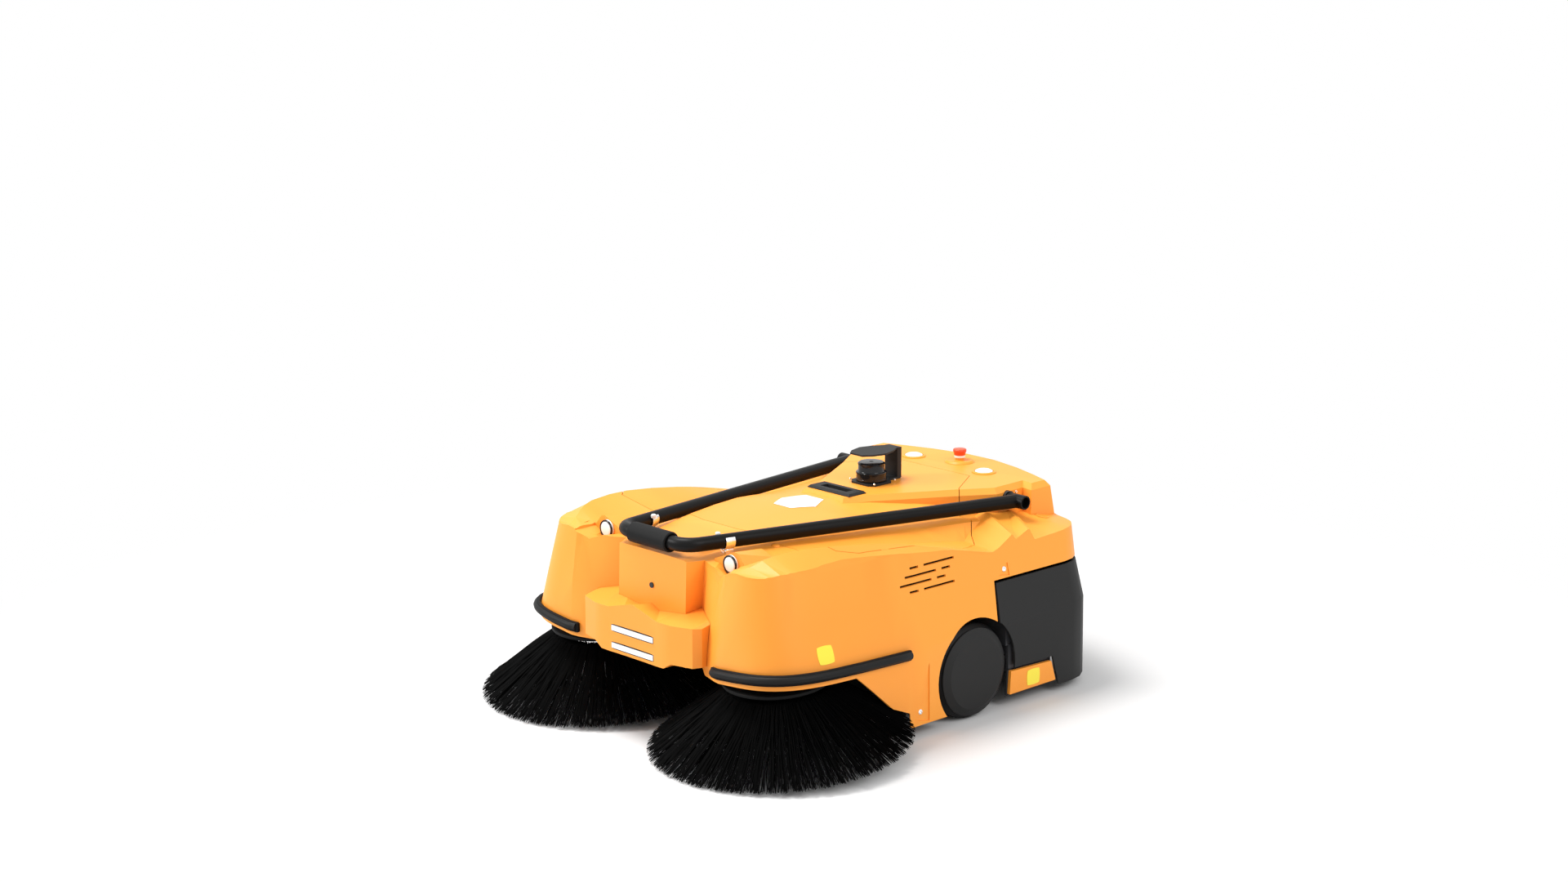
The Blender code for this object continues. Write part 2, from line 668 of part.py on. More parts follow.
def fit_flanks(shell):
    """Cut the cooling slots and the screw reliefs in both flanks."""
    slots = []
    for height, runs in SLOT_ROW_SHARES:
        z_span = (up(height) - SLOT_HEIGHT / 2, up(height) + SLOT_HEIGHT / 2)
        for run in runs:
            for side, word in SIDES:
                slots.append(side_box(side, (HALF_WIDTH - SLOT_DEPTH - OVERRUN / 2, HALF_WIDTH + OVERRUN),
                                      [along(y) for y in run], z_span))
    shell = cut(shell, gathered(slots))
    for shares in (LOW_RELIEF_SHARES, HIGH_RELIEF_SHARES):
        relief = side_prism(shares, HALF_WIDTH + OVERRUN)
        shell = cut(shell, cut(relief, walls(RELIEF_DEPTH, 0.0, DECK_HEIGHT)))
    return shell


# Folding push handle: pivots on the deck's sides, clips on the hood, a crossbar over the nose
PIVOT_SHARES = (0.640, 0.768, 0.925)
CLIP_SHARES = (0.2973, -0.580)
CROSSBAR_SHARE = -0.760
CROSSBAR_HEIGHT_SHARE = 0.9725
PIVOT_PLACE = Vector((across(PIVOT_SHARES[0]), along(PIVOT_SHARES[1]), up(PIVOT_SHARES[2])))
CROSSBAR_Y = along(CROSSBAR_SHARE)
CROSSBAR_HEIGHT = up(CROSSBAR_HEIGHT_SHARE)
CLIP_Y = along(CLIP_SHARES[1])
CLIP_MIX = (PIVOT_PLACE.y - CLIP_Y) / (PIVOT_PLACE.y - CROSSBAR_Y)
CLIP_PLACE = Vector((across(CLIP_SHARES[0]), CLIP_Y,
                     PIVOT_PLACE.z + (CROSSBAR_HEIGHT - PIVOT_PLACE.z) * CLIP_MIX))
PIVOT_AXIS = (PIVOT_PLACE.y, PIVOT_PLACE.z)
STUB_REACH = 0.024
STUB_OUTER = PIVOT_PLACE.x + STUB_REACH
STUB_INNER = across(DECK_PLAN_SHARES[3][0]) + MOVING_GAP
STUB_SWELL = 0.0003
TUBE_BORE = 0.011
BEND_REACH = 0.036
BEND_STEPS = 7
GRIP_HALF = 0.055
GRIP_RADIUS = 0.020
BUSH_RADIUS = 0.017
BUSH_LENGTH = 0.026

# Stop button, signal domes and lid grip on the deck
STOP_SHARE = 0.944
DOME_SHARES = (0.267, 0.876)
DOME_RADIUS = 0.0185
DOME_RISE = 0.006
DOME_RING_WIDTH = 0.005
DOME_RING_RISE = 0.003
GRIP_PLATE_SHARE = 0.220
GRIP_PLATE_HALF = (0.060, 0.0245)
GRIP_CUP_HALF = (0.037, 0.010)
GRIP_RISE = 0.005
GRIP_DRAFT = 0.004
GRIP_CUP_DEPTH = 0.018
GRIP_SHEET = 0.0025


def grip_box(margin, low, high):
    """Upright block over the lid grip's cup, wider all round by margin."""
    y = along(GRIP_PLATE_SHARE)
    half_x, half_y = GRIP_CUP_HALF
    return box((-half_x - margin, half_x + margin), (y - half_y - margin, y + half_y + margin), (low,
                                                                                                 high))


def build_cowl():
    shell = fit_flanks(fit_lamp_pods(cowl_shell()))
    x, y = across(DOME_SHARES[0]), along(DOME_SHARES[1])
    bore = DOME_RADIUS + PANEL_GAP
    ring = [(bore, DECK_TOP - COWL_WALL / 2), (bore + DOME_RING_WIDTH, DECK_TOP - COWL_WALL / 2),
            (bore + DOME_RING_WIDTH, DECK_TOP + DOME_RING_RISE / 2),
            (bore + DOME_RING_WIDTH / 2, DECK_TOP + DOME_RING_RISE), (bore, DECK_TOP + DOME_RING_RISE)]
    shell = fuse(shell, gathered([turned(ring, (side * x, y, 0.0), "Z", 28) for side, word in SIDES]))
    shell = cut(shell, gathered([side_disc(side, BUSH_RADIUS + SEAT_GAP, (STUB_INNER - BUSH_LENGTH,
                                                                          HALF_WIDTH),
                                           PIVOT_AXIS) for side, word in SIDES]))
    shell = cut(shell, grip_box(GRIP_SHEET + SEAT_GAP, up(DECK_FOOT_SHARE), DECK_HEIGHT + OVERRUN))
    spare = shell.copy()
    node("main_cowl", cut(shell, lid_prism(0.0)), "orange_plastic")
    node("top_lid", overlap(spare, lid_form()), "orange_plastic")


def build_lamps():
    for side, word in SIDES:
        profile = [(0, -LAMP_DEPTH), (LAMP_RADIUS - LAMP_RIM * 2, -LAMP_DEPTH),
                   (LAMP_RADIUS - LAMP_RIM / 2, -LAMP_DEPTH + LAMP_RIM), (LAMP_RADIUS,
                                                                          -LAMP_DEPTH + LAMP_RIM * 2),
                   (LAMP_RADIUS, -SEAT_GAP), (0, -SEAT_GAP)]
        node("lamp_" + word, turned(profile, lamp_place(side), "Y", 28), "white_lens")


# Nose block: faceted bumper under the nose with two charging contact strips. Each station: x, front,
# lower edge, front top edge, rear top edge (y, z)
NOSE_STATION_SHARES = (
    (0.000, -0.864, 0.400, 0.665, (-0.766, 0.648)),
    (0.060, -0.864, 0.400, 0.651, (-0.766, 0.622)),
    (0.187, -0.866, 0.400, 0.620, (-0.766, 0.638)),
    (0.240, -0.868, 0.402, 0.620, (-0.760, 0.644)),
    (0.293, -0.866, 0.432, 0.620, (-0.690, 0.668)),
    (0.416, -0.838, 0.430, 0.622, (-0.700, 0.655)),
    (0.440, -0.806, 0.432, 0.620, (-0.700, 0.650)),
)
NOSE_BACK_SHARE = -0.660
CONTACT_HALF_WIDTH = 0.060
CONTACT_HEIGHT = 0.010
CONTACT_DEPTH = 0.004
CONTACT_HEIGHT_SHARES = (0.434, 0.521)
WINDOW_RADIUS = 0.0055
WINDOW_HEIGHT_SHARE = 0.7375


def build_nose():
    stations = []
    for x, front, low, front_top, rear_top in NOSE_STATION_SHARES:
        ring = ((front, low), (front, front_top), rear_top, (NOSE_BACK_SHARE, rear_top[1]),
                (NOSE_BACK_SHARE, low))
        stations.append((across(x), ring))
    whole = [(-x, ring) for x, ring in reversed(stations) if x > 0] + stations
    block = cut(side_loft(whole), walls(-2 * SEAT_GAP, 0.0, DECK_HEIGHT))
    front = along(NOSE_STATION_SHARES[0][1])
    half = CONTACT_HALF_WIDTH + PANEL_GAP
    grooves = []
    for share, word in zip(CONTACT_HEIGHT_SHARES, ("lower", "upper")):
        height = up(share)
        groove_half = CONTACT_HEIGHT / 2 + PANEL_GAP
        grooves.append(box((-half, half), (front - OVERRUN, front + CONTACT_DEPTH),
                           (height - groove_half, height + groove_half)))
        strip = box((-CONTACT_HALF_WIDTH, CONTACT_HALF_WIDTH),
                    (front - CONTACT_DEPTH / 2, front + CONTACT_DEPTH - SEAT_GAP),
                    (height - CONTACT_HEIGHT / 2, height + CONTACT_HEIGHT / 2))
        node("charge_contact_" + word, strip, "white_lens")
    node("nose_block", cut(block, gathered(grooves)), "orange_plastic")
    height = up(WINDOW_HEIGHT_SHARE)
    face = outline_at(height - WINDOW_RADIUS, 0.0)[0][1]
    window = disc(WINDOW_RADIUS, -CONTACT_DEPTH / 2, -SEAT_GAP, (0.0, face, height), "Y", 20)
    node("nose_sensor", window, "black_plastic")


# Rubber strip round each fender; its lower edge rises outward and forward
STRIP_DEPTH = 0.008
STRIP_HEIGHT = 0.021
STRIP_LOW_SHARE = 0.405
STRIP_RISE_OUT = 0.0905
STRIP_RISE_BACK = -0.0436
STRIP_ORIGIN_SHARES = (0.533, -0.800)
STRIP_START_SHARE = 0.66
STRIP_END_SHARE = -0.132


def strip_height(x, y):
    """Lower edge of the rubber strip over a place."""
    origin_x, origin_y = across(STRIP_ORIGIN_SHARES[0]), along(STRIP_ORIGIN_SHARES[1])
    return up(STRIP_LOW_SHARE) + STRIP_RISE_OUT * (x - origin_x) + STRIP_RISE_BACK * (y - origin_y)


def strip_line(inset):
    """Fender edge from the strip's inner start to its end on the flank."""
    first = 2
    last = first + FENDER_STEPS + 3
    line = [Vector(point) for point in outline_at(up(WALL_STRAIGHT_SHARE), inset)[first:last]]
    line[0] = line[0].lerp(line[1], STRIP_START_SHARE)
    end = along(STRIP_END_SHARE)
    line[-1] = line[-2].lerp(line[-1], (end - line[-2].y) / (line[-1].y - line[-2].y))
    return line


def build_strips():
    for side, word in SIDES:
        rings = []
        for near, far in zip(strip_line(-SEAT_GAP), strip_line(-STRIP_DEPTH)):
            low = strip_height(near.x, near.y)
            rings.append([(side * near.x, near.y, low), (side * far.x, far.y, low),
                          (side * far.x, far.y, low + STRIP_HEIGHT), (side * near.x, near.y,
                                                                      low + STRIP_HEIGHT)])
        node("bumper_strip_" + word, loft(rings), "grip_foam")


BRUSH_MOTOR_RADIUS = 0.038
BRUSH_MOTOR_HEIGHT = 0.106
SHAFT_RADIUS = 0.010


def build_brushes():
    flange = BRUSH_HUB_BASE - BRUSH_FLANGE_DEPTH
    root = BRUSH_HUB_RADIUS * SKIRT_ROOT_SHARE
    rim = BRUSH_HUB_RADIUS - BRUSH_HUB_DEPTH / 2
    bore = SHAFT_RADIUS + SEAT_GAP
    origin = (0.0, 0.0, 0.0)
    for side, word in SIDES:
        head = BRUSH_RING + Vector((side * BRUSH_X, 0.0, 0.0))
        head += Matrix.Rotation(BRUSH_LEAN, 3, "X") @ Vector((0.0, 0.0, BRUSH_HUB_TOP))
        axis = pivot("brush_%s_axis" % word, head)
        hub = [(bore, flange), (root - SEAT_GAP, flange), (root - SEAT_GAP, BRUSH_HUB_BASE),
               (rim, BRUSH_HUB_BASE), (BRUSH_HUB_RADIUS, BRUSH_HUB_BASE + BRUSH_HUB_DEPTH / 4),
               (BRUSH_HUB_RADIUS, BRUSH_HUB_TOP - BRUSH_HUB_DEPTH / 4), (rim, BRUSH_HUB_TOP), (bore,
                                                                                               BRUSH_HUB_TOP)]
        node("brush_%s_hub" % word, leaned(turned(hub, origin, "Z", 40), side), "black_plastic", axis)
        top = BRUSH_HUB_BASE - SEAT_GAP
        skirt = [(root, top), (rim, top),
                 (BRUSH_REACH * SKIRT_MIDDLE_SHARES[0], BRUSH_HUB_BASE * SKIRT_MIDDLE_SHARES[1]),
                 (BRUSH_REACH, BRUSH_HUB_BASE * SKIRT_TIP_SHARE), (BRUSH_REACH, 0.0),
                 (BRUSH_REACH * (1 - SKIRT_THICKNESS_SHARE), 0.0),
                 (BRUSH_REACH * SKIRT_INSIDE_SHARES[0], BRUSH_HUB_BASE * SKIRT_INSIDE_SHARES[1]),
                 (root, flange)]
        node("brush_%s_bristles" % word, leaned(turned(skirt, origin, "Z", 48), side), "bristle", axis)
        seat = BRUSH_HUB_TOP + MOVING_GAP
        motor = [(0, flange), (SHAFT_RADIUS, flange), (SHAFT_RADIUS, seat), (BRUSH_MOTOR_RADIUS, seat),
                 (BRUSH_MOTOR_RADIUS, seat + BRUSH_MOTOR_HEIGHT), (0, seat + BRUSH_MOTOR_HEIGHT)]
        node("brush_motor_" + word, leaned(turned(motor, origin, "Z", 24), side), "motor_metal")


# Chassis: rails, brush motor plate, cross member, castor rails and lifting webs
RAIL_SHARES = (0.373, 0.480)
RAIL_FRONT_SHARE = -0.680
MOTOR_PLATE_SHARE = 0.787
MOTOR_PLATE_HALF = 0.056
MOTOR_PLATE_RISE = 0.017
CROSS_END_SHARE = 0.570
CROSS_REACH_SHARE = 0.965
CASTOR_RAIL_INNER_SHARE = 0.627
CASTOR_RAIL_END_SHARE = 0.860
WEB_SHARES = (0.952, 0.971)
WEB_LOW_SHARE = 0.080
WEB_MARGIN = 0.006
OUTRIGGER_SHARES = (-0.038, 0.032)
RAIL_INNER, RAIL_OUTER = [across(share) for share in RAIL_SHARES]
WEB_INNER, WEB_OUTER = [across(share) for share in WEB_SHARES]
CROSS_FRONT = WHEEL_Y + WHEEL_RADIUS + PANEL_GAP
CROSS_END = along(CROSS_END_SHARE)
CASTOR_RAIL_END = along(CASTOR_RAIL_END_SHARE)
LIFT_REAR_SHARE = 0.720
LIFT_FRONT = WHEEL_Y + WHEEL_RADIUS + PANEL_GAP
LIFT_REAR = along(LIFT_REAR_SHARE)


def build_chassis():
    rail_front = along(RAIL_FRONT_SHARE)
    plate = leaned(box((-across(MOTOR_PLATE_SHARE), across(MOTOR_PLATE_SHARE)), (-MOTOR_PLATE_HALF,
                                                                                 MOTOR_PLATE_HALF),
                       (BRUSH_HUB_TOP + MOTOR_PLATE_RISE, BRUSH_HUB_TOP + MOTOR_PLATE_RISE + PLATE)))
    plate = overlap(plate, walls(COWL_WALL + 2 * SEAT_GAP, 0.0, DECK_HEIGHT))
    cross_reach = across(CROSS_REACH_SHARE)
    frame = fuse(plate, box((-cross_reach, cross_reach), (CROSS_FRONT, CROSS_END),
                            (CASTOR_RAIL_HIGH - PLATE / 2, RAIL_LOW + PLATE / 2)))
    for side, word in SIDES:
        frame = fuse(frame, side_box(side, (RAIL_INNER, RAIL_OUTER), (rail_front, CROSS_END - PLATE),
                                     (RAIL_LOW, RAIL_HIGH)))
        frame = fuse(frame, side_box(side, (RAIL_OUTER - PLATE, RAIL_OUTER), (WHEEL_Y - MOTOR_RADIUS,
                                                                              WHEEL_Y + MOTOR_RADIUS),
                                     (WHEEL_RADIUS - MOTOR_RADIUS, RAIL_LOW + PLATE / 2)))
        frame = fuse(frame, side_box(side, (across(CASTOR_RAIL_INNER_SHARE), cross_reach - SEAT_GAP),
                                     (CROSS_FRONT + PLATE, CASTOR_RAIL_END), (CASTOR_RAIL_LOW,
                                                                              CASTOR_RAIL_HIGH)))
        frame = fuse(frame, side_box(side, (WEB_INNER, WEB_OUTER), (LIFT_FRONT + WEB_MARGIN,
                                                                    LIFT_REAR - WEB_MARGIN),
                                     (up(WEB_LOW_SHARE), CASTOR_RAIL_HIGH - PLATE / 4)))
        frame = cut(frame, leaned(disc(BRUSH_MOTOR_RADIUS + SEAT_GAP, 0.0, DECK_HEIGHT, (0.0, 0.0, 0.0),
                                       "Z", 24), side))
    outrigger = box((-HALF_WIDTH, HALF_WIDTH), [along(share) for share in OUTRIGGER_SHARES],
                    (RAIL_LOW + PLATE / 4, RAIL_HIGH - PLATE / 4))
    frame = fuse(frame, overlap(outrigger, walls(COWL_WALL + SEAT_GAP, 0.0, DECK_HEIGHT)))
    node("chassis_frame", frame, "dark_steel")


# Orange lifting plates at the rear corners: side-view outline, along the plate and in deck heights
LIFT_PLATE_SHARES = ((0.0, 0.070), (0.022, 0.190), (0.898, 0.180), (1.0, 0.0725))


def build_lift_plates():
    for side, word in SIDES:
        rings = [[(side * x, LIFT_FRONT + (LIFT_REAR - LIFT_FRONT) * y, up(z)) for y,
                  z in LIFT_PLATE_SHARES]
                 for x in (WEB_OUTER + SEAT_GAP, HALF_WIDTH)]
        node("lift_plate_" + word, loft(rings), "orange_plastic")


# Debris channel from the brushes back to the hopper mouth: its tongue follows the brushes, in
# shares of their reach from their centres
CHANNEL_TONGUE_SHARES = ((0.112, 0.494), (0.265, 0.687))
CHANNEL_START_SHARE = 0.905
CHANNEL_MARGIN = 0.006
CHANNEL_LOW = 0.005
CHANNEL_HIGH = 0.030
CHANNEL_RAMP_SHARE = 1.056
CHANNEL_END_SHARE = 0.580
CHANNEL_WALL_LOW = 0.021
CHANNEL_HALF = RAIL_INNER - CHANNEL_MARGIN


def build_ramp():
    start = BRUSH_RING.y
    points = [(BRUSH_REACH * x, start + BRUSH_REACH * y) for x, y in CHANNEL_TONGUE_SHARES]
    points += [(CHANNEL_HALF, start + BRUSH_REACH * share) for share in (CHANNEL_START_SHARE,
                                                                         CHANNEL_RAMP_SHARE)]
    points.append((CHANNEL_HALF, along(CHANNEL_END_SHARE)))
    climb = [(points[0][1], CHANNEL_LOW), (points[3][1], CHANNEL_HIGH), (points[4][1], CHANNEL_HIGH)]
    rows = []
    for x, y in points:
        z = between(climb, y)
        rows.append([(-x, y, z), (x, y, z), (x, y, z + SHEET), (-x, y, z + SHEET)])
    channel = loft(rows)
    for side, word in SIDES:
        wall = side_box(side, (CHANNEL_HALF - SHEET, RAIL_INNER + PLATE), (points[2][1],
                                                                           CROSS_FRONT - PLATE),
                        (CHANNEL_WALL_LOW, RAIL_LOW - SEAT_GAP))
        channel = fuse(channel, wall)
    node("collector_ramp", channel, "black_plastic")


# Drive wheels and gear motors
WHEEL_SETBACK = 0.001
TYRE_WIDTH = 0.048
TYRE_ROUND = 0.008
CAP_DEPTH = 0.0118
CAP_EDGE = 0.004
CAP_SHARE = 0.926
CAP_FLAT_SHARE = 0.768
BORE_SHARE = 0.800
AXLE_RADIUS = 0.010
TYRE_OUTER = HALF_WIDTH - WHEEL_SETBACK - CAP_DEPTH
WHEEL_INNER = TYRE_OUTER - TYRE_WIDTH


def build_drive():
    bore = WHEEL_RADIUS * BORE_SHARE
    shoulder = WHEEL_RADIUS - TYRE_ROUND
    eye = AXLE_RADIUS + SEAT_GAP
    seat = TYRE_OUTER + SEAT_GAP
    web = TYRE_OUTER - PLATE
    for side, word in SIDES:
        centre = (0.0, WHEEL_Y, WHEEL_RADIUS)
        axis = pivot("wheel_%s_axis" % word, (side * (WHEEL_INNER + TYRE_OUTER) / 2, WHEEL_Y,
                                              WHEEL_RADIUS))
        tyre = [(bore, WHEEL_INNER), (shoulder, WHEEL_INNER), (WHEEL_RADIUS, WHEEL_INNER + TYRE_ROUND),
                (WHEEL_RADIUS, TYRE_OUTER - TYRE_ROUND), (shoulder, TYRE_OUTER), (bore, TYRE_OUTER)]
        node("wheel_%s_tyre" % word, turned([(r, side * x) for r, x in tyre], centre, "X", 48),
             "tyre_rubber", axis)
        hub = [(0, web), (eye, web), (eye, WHEEL_INNER + PLATE), (bore - SEAT_GAP, WHEEL_INNER + PLATE),
               (bore - SEAT_GAP, seat), (WHEEL_RADIUS * CAP_SHARE, seat), (WHEEL_RADIUS * CAP_SHARE,
                                                                           seat + CAP_EDGE),
               (WHEEL_RADIUS * CAP_FLAT_SHARE, TYRE_OUTER + CAP_DEPTH), (0, TYRE_OUTER + CAP_DEPTH)]
        node("wheel_%s_hub" % word, turned([(r, side * x) for r, x in hub], centre, "X", 48), "dark_panel",
             axis)
        end = WHEEL_INNER - 2 * PLATE
        motor = [(0, RAIL_OUTER + SEAT_GAP), (MOTOR_RADIUS, RAIL_OUTER + SEAT_GAP), (MOTOR_RADIUS, end),
                 (AXLE_RADIUS, end), (AXLE_RADIUS, web - SHEET), (0, web - SHEET)]
        node("drive_motor_" + word, turned([(r, side * x) for r, x in motor], centre, "X", 32),
             "motor_metal")


BATTERY_TOP_SHARE = 0.825
BATTERY_HALF_SHARE = 0.453
BATTERY_SPAN_SHARES = (0.250, 0.550)


def build_battery():
    half = across(BATTERY_HALF_SHARE)
    block = box((-half, half), [along(share) for share in BATTERY_SPAN_SHARES],
                (RAIL_HIGH + SEAT_GAP, up(BATTERY_TOP_SHARE)))
    node("battery_pack", block, "battery_case")


# Rear castors, each with room to swing between the lifting web and the hopper
CASTOR_PLACE_SHARE = 0.700
CASTOR_TRAIL = 0.030
CASTOR_WIDTH = 0.022
CASTOR_ROOM = 0.0145
FORK_HALF = 0.0175
FORK_RADIUS = 0.024
PIN_RADIUS = 0.004
CASTOR_SWEEP = CASTOR_TRAIL + CASTOR_RADIUS
CASTOR_X = WEB_INNER - CASTOR_SWEEP - CASTOR_ROOM
CASTOR_Y = along(CASTOR_PLACE_SHARE)


def build_castors():
    crown_low = FORK_TOP - FORK_CROWN
    wheel_y = CASTOR_Y + CASTOR_TRAIL
    pin = PIN_RADIUS * 2
    for side, word in SIDES:
        x = side * CASTOR_X
        swivel = pivot("castor_%s_swivel_axis" % word, (x, CASTOR_Y, FORK_TOP))
        fork = disc(FORK_RADIUS, crown_low, FORK_TOP, (x, CASTOR_Y, 0.0), "Z", 24)
        for lean in (-1, 1):
            low_x, high_x = sorted((x + lean * FORK_HALF, x + lean * (FORK_HALF - SHEET)))
            leg = [(CASTOR_Y - FORK_RADIUS / 2, crown_low + FORK_CROWN / 2),
                   (CASTOR_Y + FORK_RADIUS - PIN_RADIUS, crown_low + FORK_CROWN / 2),
                   (wheel_y + pin, CASTOR_RADIUS), (wheel_y + PIN_RADIUS, CASTOR_RADIUS - pin),
                   (wheel_y - pin, CASTOR_RADIUS - pin)]
            fork = fuse(fork, loft([[(cx, y, z) for y, z in leg] for cx in (low_x, high_x)]))
        fork = fuse(fork, disc(PIN_RADIUS, -FORK_HALF, FORK_HALF, (x, wheel_y, CASTOR_RADIUS), "X", 12))
        node("castor_%s_fork" % word, fork, "dark_steel", swivel)
        roll = pivot("castor_%s_wheel_axis" % word, (x, wheel_y, CASTOR_RADIUS))
        half = CASTOR_WIDTH / 2
        eye = PIN_RADIUS + SEAT_GAP
        tread = [(eye, -half), (CASTOR_RADIUS - PIN_RADIUS, -half), (CASTOR_RADIUS, -half / 2),
                 (CASTOR_RADIUS, half / 2), (CASTOR_RADIUS - PIN_RADIUS, half), (eye, half)]
        node("castor_%s_wheel" % word, turned(tread, (x, wheel_y, CASTOR_RADIUS), "X", 28), "tyre_rubber",
             roll)


# Debris hopper: outer cover with an open bin behind it, sliding out to the rear
HOPPER_LOW_SHARE = 0.045
HOPPER_TOP_SHARE = 0.641
HOPPER_MARGIN = 0.015
HOPPER_FRONT_SHARES = ((0.384, -0.10), (0.384, 0.4475), (0.408, 0.700), (1.30, 0.700), (1.30, -0.10))
BIN_FRONT_SHARE = 0.600
BIN_ROOM = 0.0105
BIN_LOW_SHARE = 0.075
MOUTH_HALF_SHARE = 0.66
MOUTH_TOP_MARGIN = 0.0135
PULL_SHARES = ((-0.170, 0.170), (0.440, 0.550))
PULL_DEPTH = 0.026
HOPPER_LOW = up(HOPPER_LOW_SHARE)
HOPPER_TOP = up(HOPPER_TOP_SHARE)
BIN_FRONT = along(BIN_FRONT_SHARE)
BIN_HALF = CASTOR_X - CASTOR_SWEEP - BIN_ROOM
BIN_LOW = up(BIN_LOW_SHARE)
BIN_STEP = CASTOR_RAIL_HIGH + MOVING_GAP


def bin_form(inset, low, top, skin):
    """Bin block, narrow between the castors and wide above them, within the cover's skin."""
    half = BIN_HALF - inset
    y_span = (BIN_FRONT + inset, 2 * HALF_LENGTH)
    lower = box((-half, half), y_span, (low, BIN_STEP + inset + HOPPER_WALL))
    upper = box((-HALF_WIDTH, HALF_WIDTH), y_span, (BIN_STEP + inset, top))
    return overlap(fuse(lower, upper), walls(skin, HOPPER_LOW - HOPPER_MARGIN, HOPPER_TOP + HOPPER_MARGIN))


def pull_box(margin):
    """Block of the finger pull in the hopper's rear face, wider all round by margin."""
    x_span, z_span = PULL_SHARES
    rear = outline_at(up(z_span[1]), 0.0)[len(outline_at(up(z_span[1]), 0.0)) // 2][1]
    return box((across(x_span[0]) - margin, across(x_span[1]) + margin), (rear - PULL_DEPTH - margin,
                                                                          rear + OVERRUN),
               (up(z_span[0]) - margin, up(z_span[1]) + margin))


def build_hopper():
    reach = HALF_WIDTH + OVERRUN
    skin_low = HOPPER_LOW - HOPPER_MARGIN
    skin_top = HOPPER_TOP + HOPPER_MARGIN
    cover = cut(walls(0.0, HOPPER_LOW, HOPPER_TOP), walls(HOPPER_WALL, skin_low, skin_top))
    cover = overlap(cover, side_prism(HOPPER_FRONT_SHARES, reach))
    top, low = [(LIFT_FRONT + (LIFT_REAR - LIFT_FRONT) * y, up(z)) for y, z in LIFT_PLATE_SHARES[2:]]
    slope = (low[0] - top[0]) / (top[1] - low[1])
    notch_top = up(LIFT_PLATE_SHARES[1][1]) + MOVING_GAP
    notch = [(WHEEL_Y, -OVERRUN), (WHEEL_Y, notch_top),
             (top[0] - (notch_top - top[1]) * slope + MOVING_GAP, notch_top),
             (top[0] + (top[1] + OVERRUN) * slope + MOVING_GAP, -OVERRUN)]
    cover = cut(cover, loft([[(x, y, z) for y, z in notch] for x in (-reach, reach)]))
    cover = cut(cover, side_disc(1, ARCH_RADIUS + PANEL_GAP, (-reach, reach), (WHEEL_Y, WHEEL_RADIUS), 48))
    hopper = fuse(cover, bin_form(0.0, BIN_LOW, HOPPER_TOP - HOPPER_WALL, HOPPER_WALL / 2))
    hopper = cut(hopper, bin_form(HOPPER_WALL, BIN_LOW + HOPPER_WALL, HOPPER_TOP + HOPPER_WALL,
                                  HOPPER_WALL + SEAT_GAP))
    pull = overlap(pull_box(HOPPER_WALL), walls(HOPPER_WALL / 2, skin_low, skin_top))
    hopper = cut(fuse(hopper, pull), pull_box(0.0))
    mouth_half = BIN_HALF * MOUTH_HALF_SHARE
    mouth = box((-mouth_half, mouth_half), (BIN_FRONT - OVERRUN, BIN_FRONT + OVERRUN / 2),
                (BIN_LOW + HOPPER_WALL, BIN_STEP - MOUTH_TOP_MARGIN))
    hopper = cut(hopper, mouth)
    for side, word in SIDES:
        runner = side_box(side, (CASTOR_X - PLATE, CASTOR_X + PLATE), (BIN_FRONT, CASTOR_RAIL_END),
                          (CASTOR_RAIL_HIGH + SEAT_GAP, BIN_STEP + HOPPER_WALL / 2))
        hopper = fuse(hopper, runner)
    node("hopper_bin", hopper, "dark_panel")


def handle_path():
    """Right half of the tube's centre line from the pivot to the crossbar's middle."""
    run = (CLIP_PLACE - PIVOT_PLACE).normalized()
    corner = CLIP_PLACE + run * ((CLIP_PLACE.y - CROSSBAR_Y) / -run.y)
    enter = corner - run * BEND_REACH
    leave = corner - Vector((BEND_REACH, 0.0, 0.0))
    points = [PIVOT_PLACE, PIVOT_PLACE.lerp(enter, 0.5), enter]
    for k in range(1, BEND_STEPS):
        t = k / BEND_STEPS
        points.append(enter * (1 - t) ** 2 + corner * 2 * t * (1 - t) + leave * t * t)
    points.append(leave)
    return points


def build_handle():
    axis = pivot("handle_axis", (0.0, PIVOT_PLACE.y, PIVOT_PLACE.z))
    half = handle_path()
    tube = swept(half + [Vector((-p.x, p.y, p.z)) for p in reversed(half)], TUBE_RADIUS, 14)
    for side, word in SIDES:
        tube = fuse(tube, side_disc(side, TUBE_RADIUS + STUB_SWELL, (STUB_INNER, STUB_OUTER), PIVOT_AXIS))
        tube = cut(tube, side_disc(side, TUBE_BORE, (STUB_OUTER - TUBE_RADIUS, STUB_OUTER + TUBE_RADIUS),
                                   PIVOT_AXIS))
        bush = side_disc(side, BUSH_RADIUS, (STUB_INNER - SEAT_GAP, STUB_INNER - BUSH_LENGTH + SEAT_GAP),
                         PIVOT_AXIS)
        node("handle_bush_" + word, bush, "black_plastic")
    node("handle_tube", tube, "handle_steel", axis)
    bore = TUBE_RADIUS + SEAT_GAP
    sleeve = [(bore, -GRIP_HALF), (GRIP_RADIUS, -GRIP_HALF), (GRIP_RADIUS, GRIP_HALF), (bore, GRIP_HALF)]
    node("handle_grip", turned(sleeve, (0.0, CROSSBAR_Y, CROSSBAR_HEIGHT), "X", 20), "grip_foam", axis)


# Spring clips that hold the folded handle
CLIP_SHEET = 0.002
CLIP_WIDTH = 0.012
CLIP_RISE = 0.015


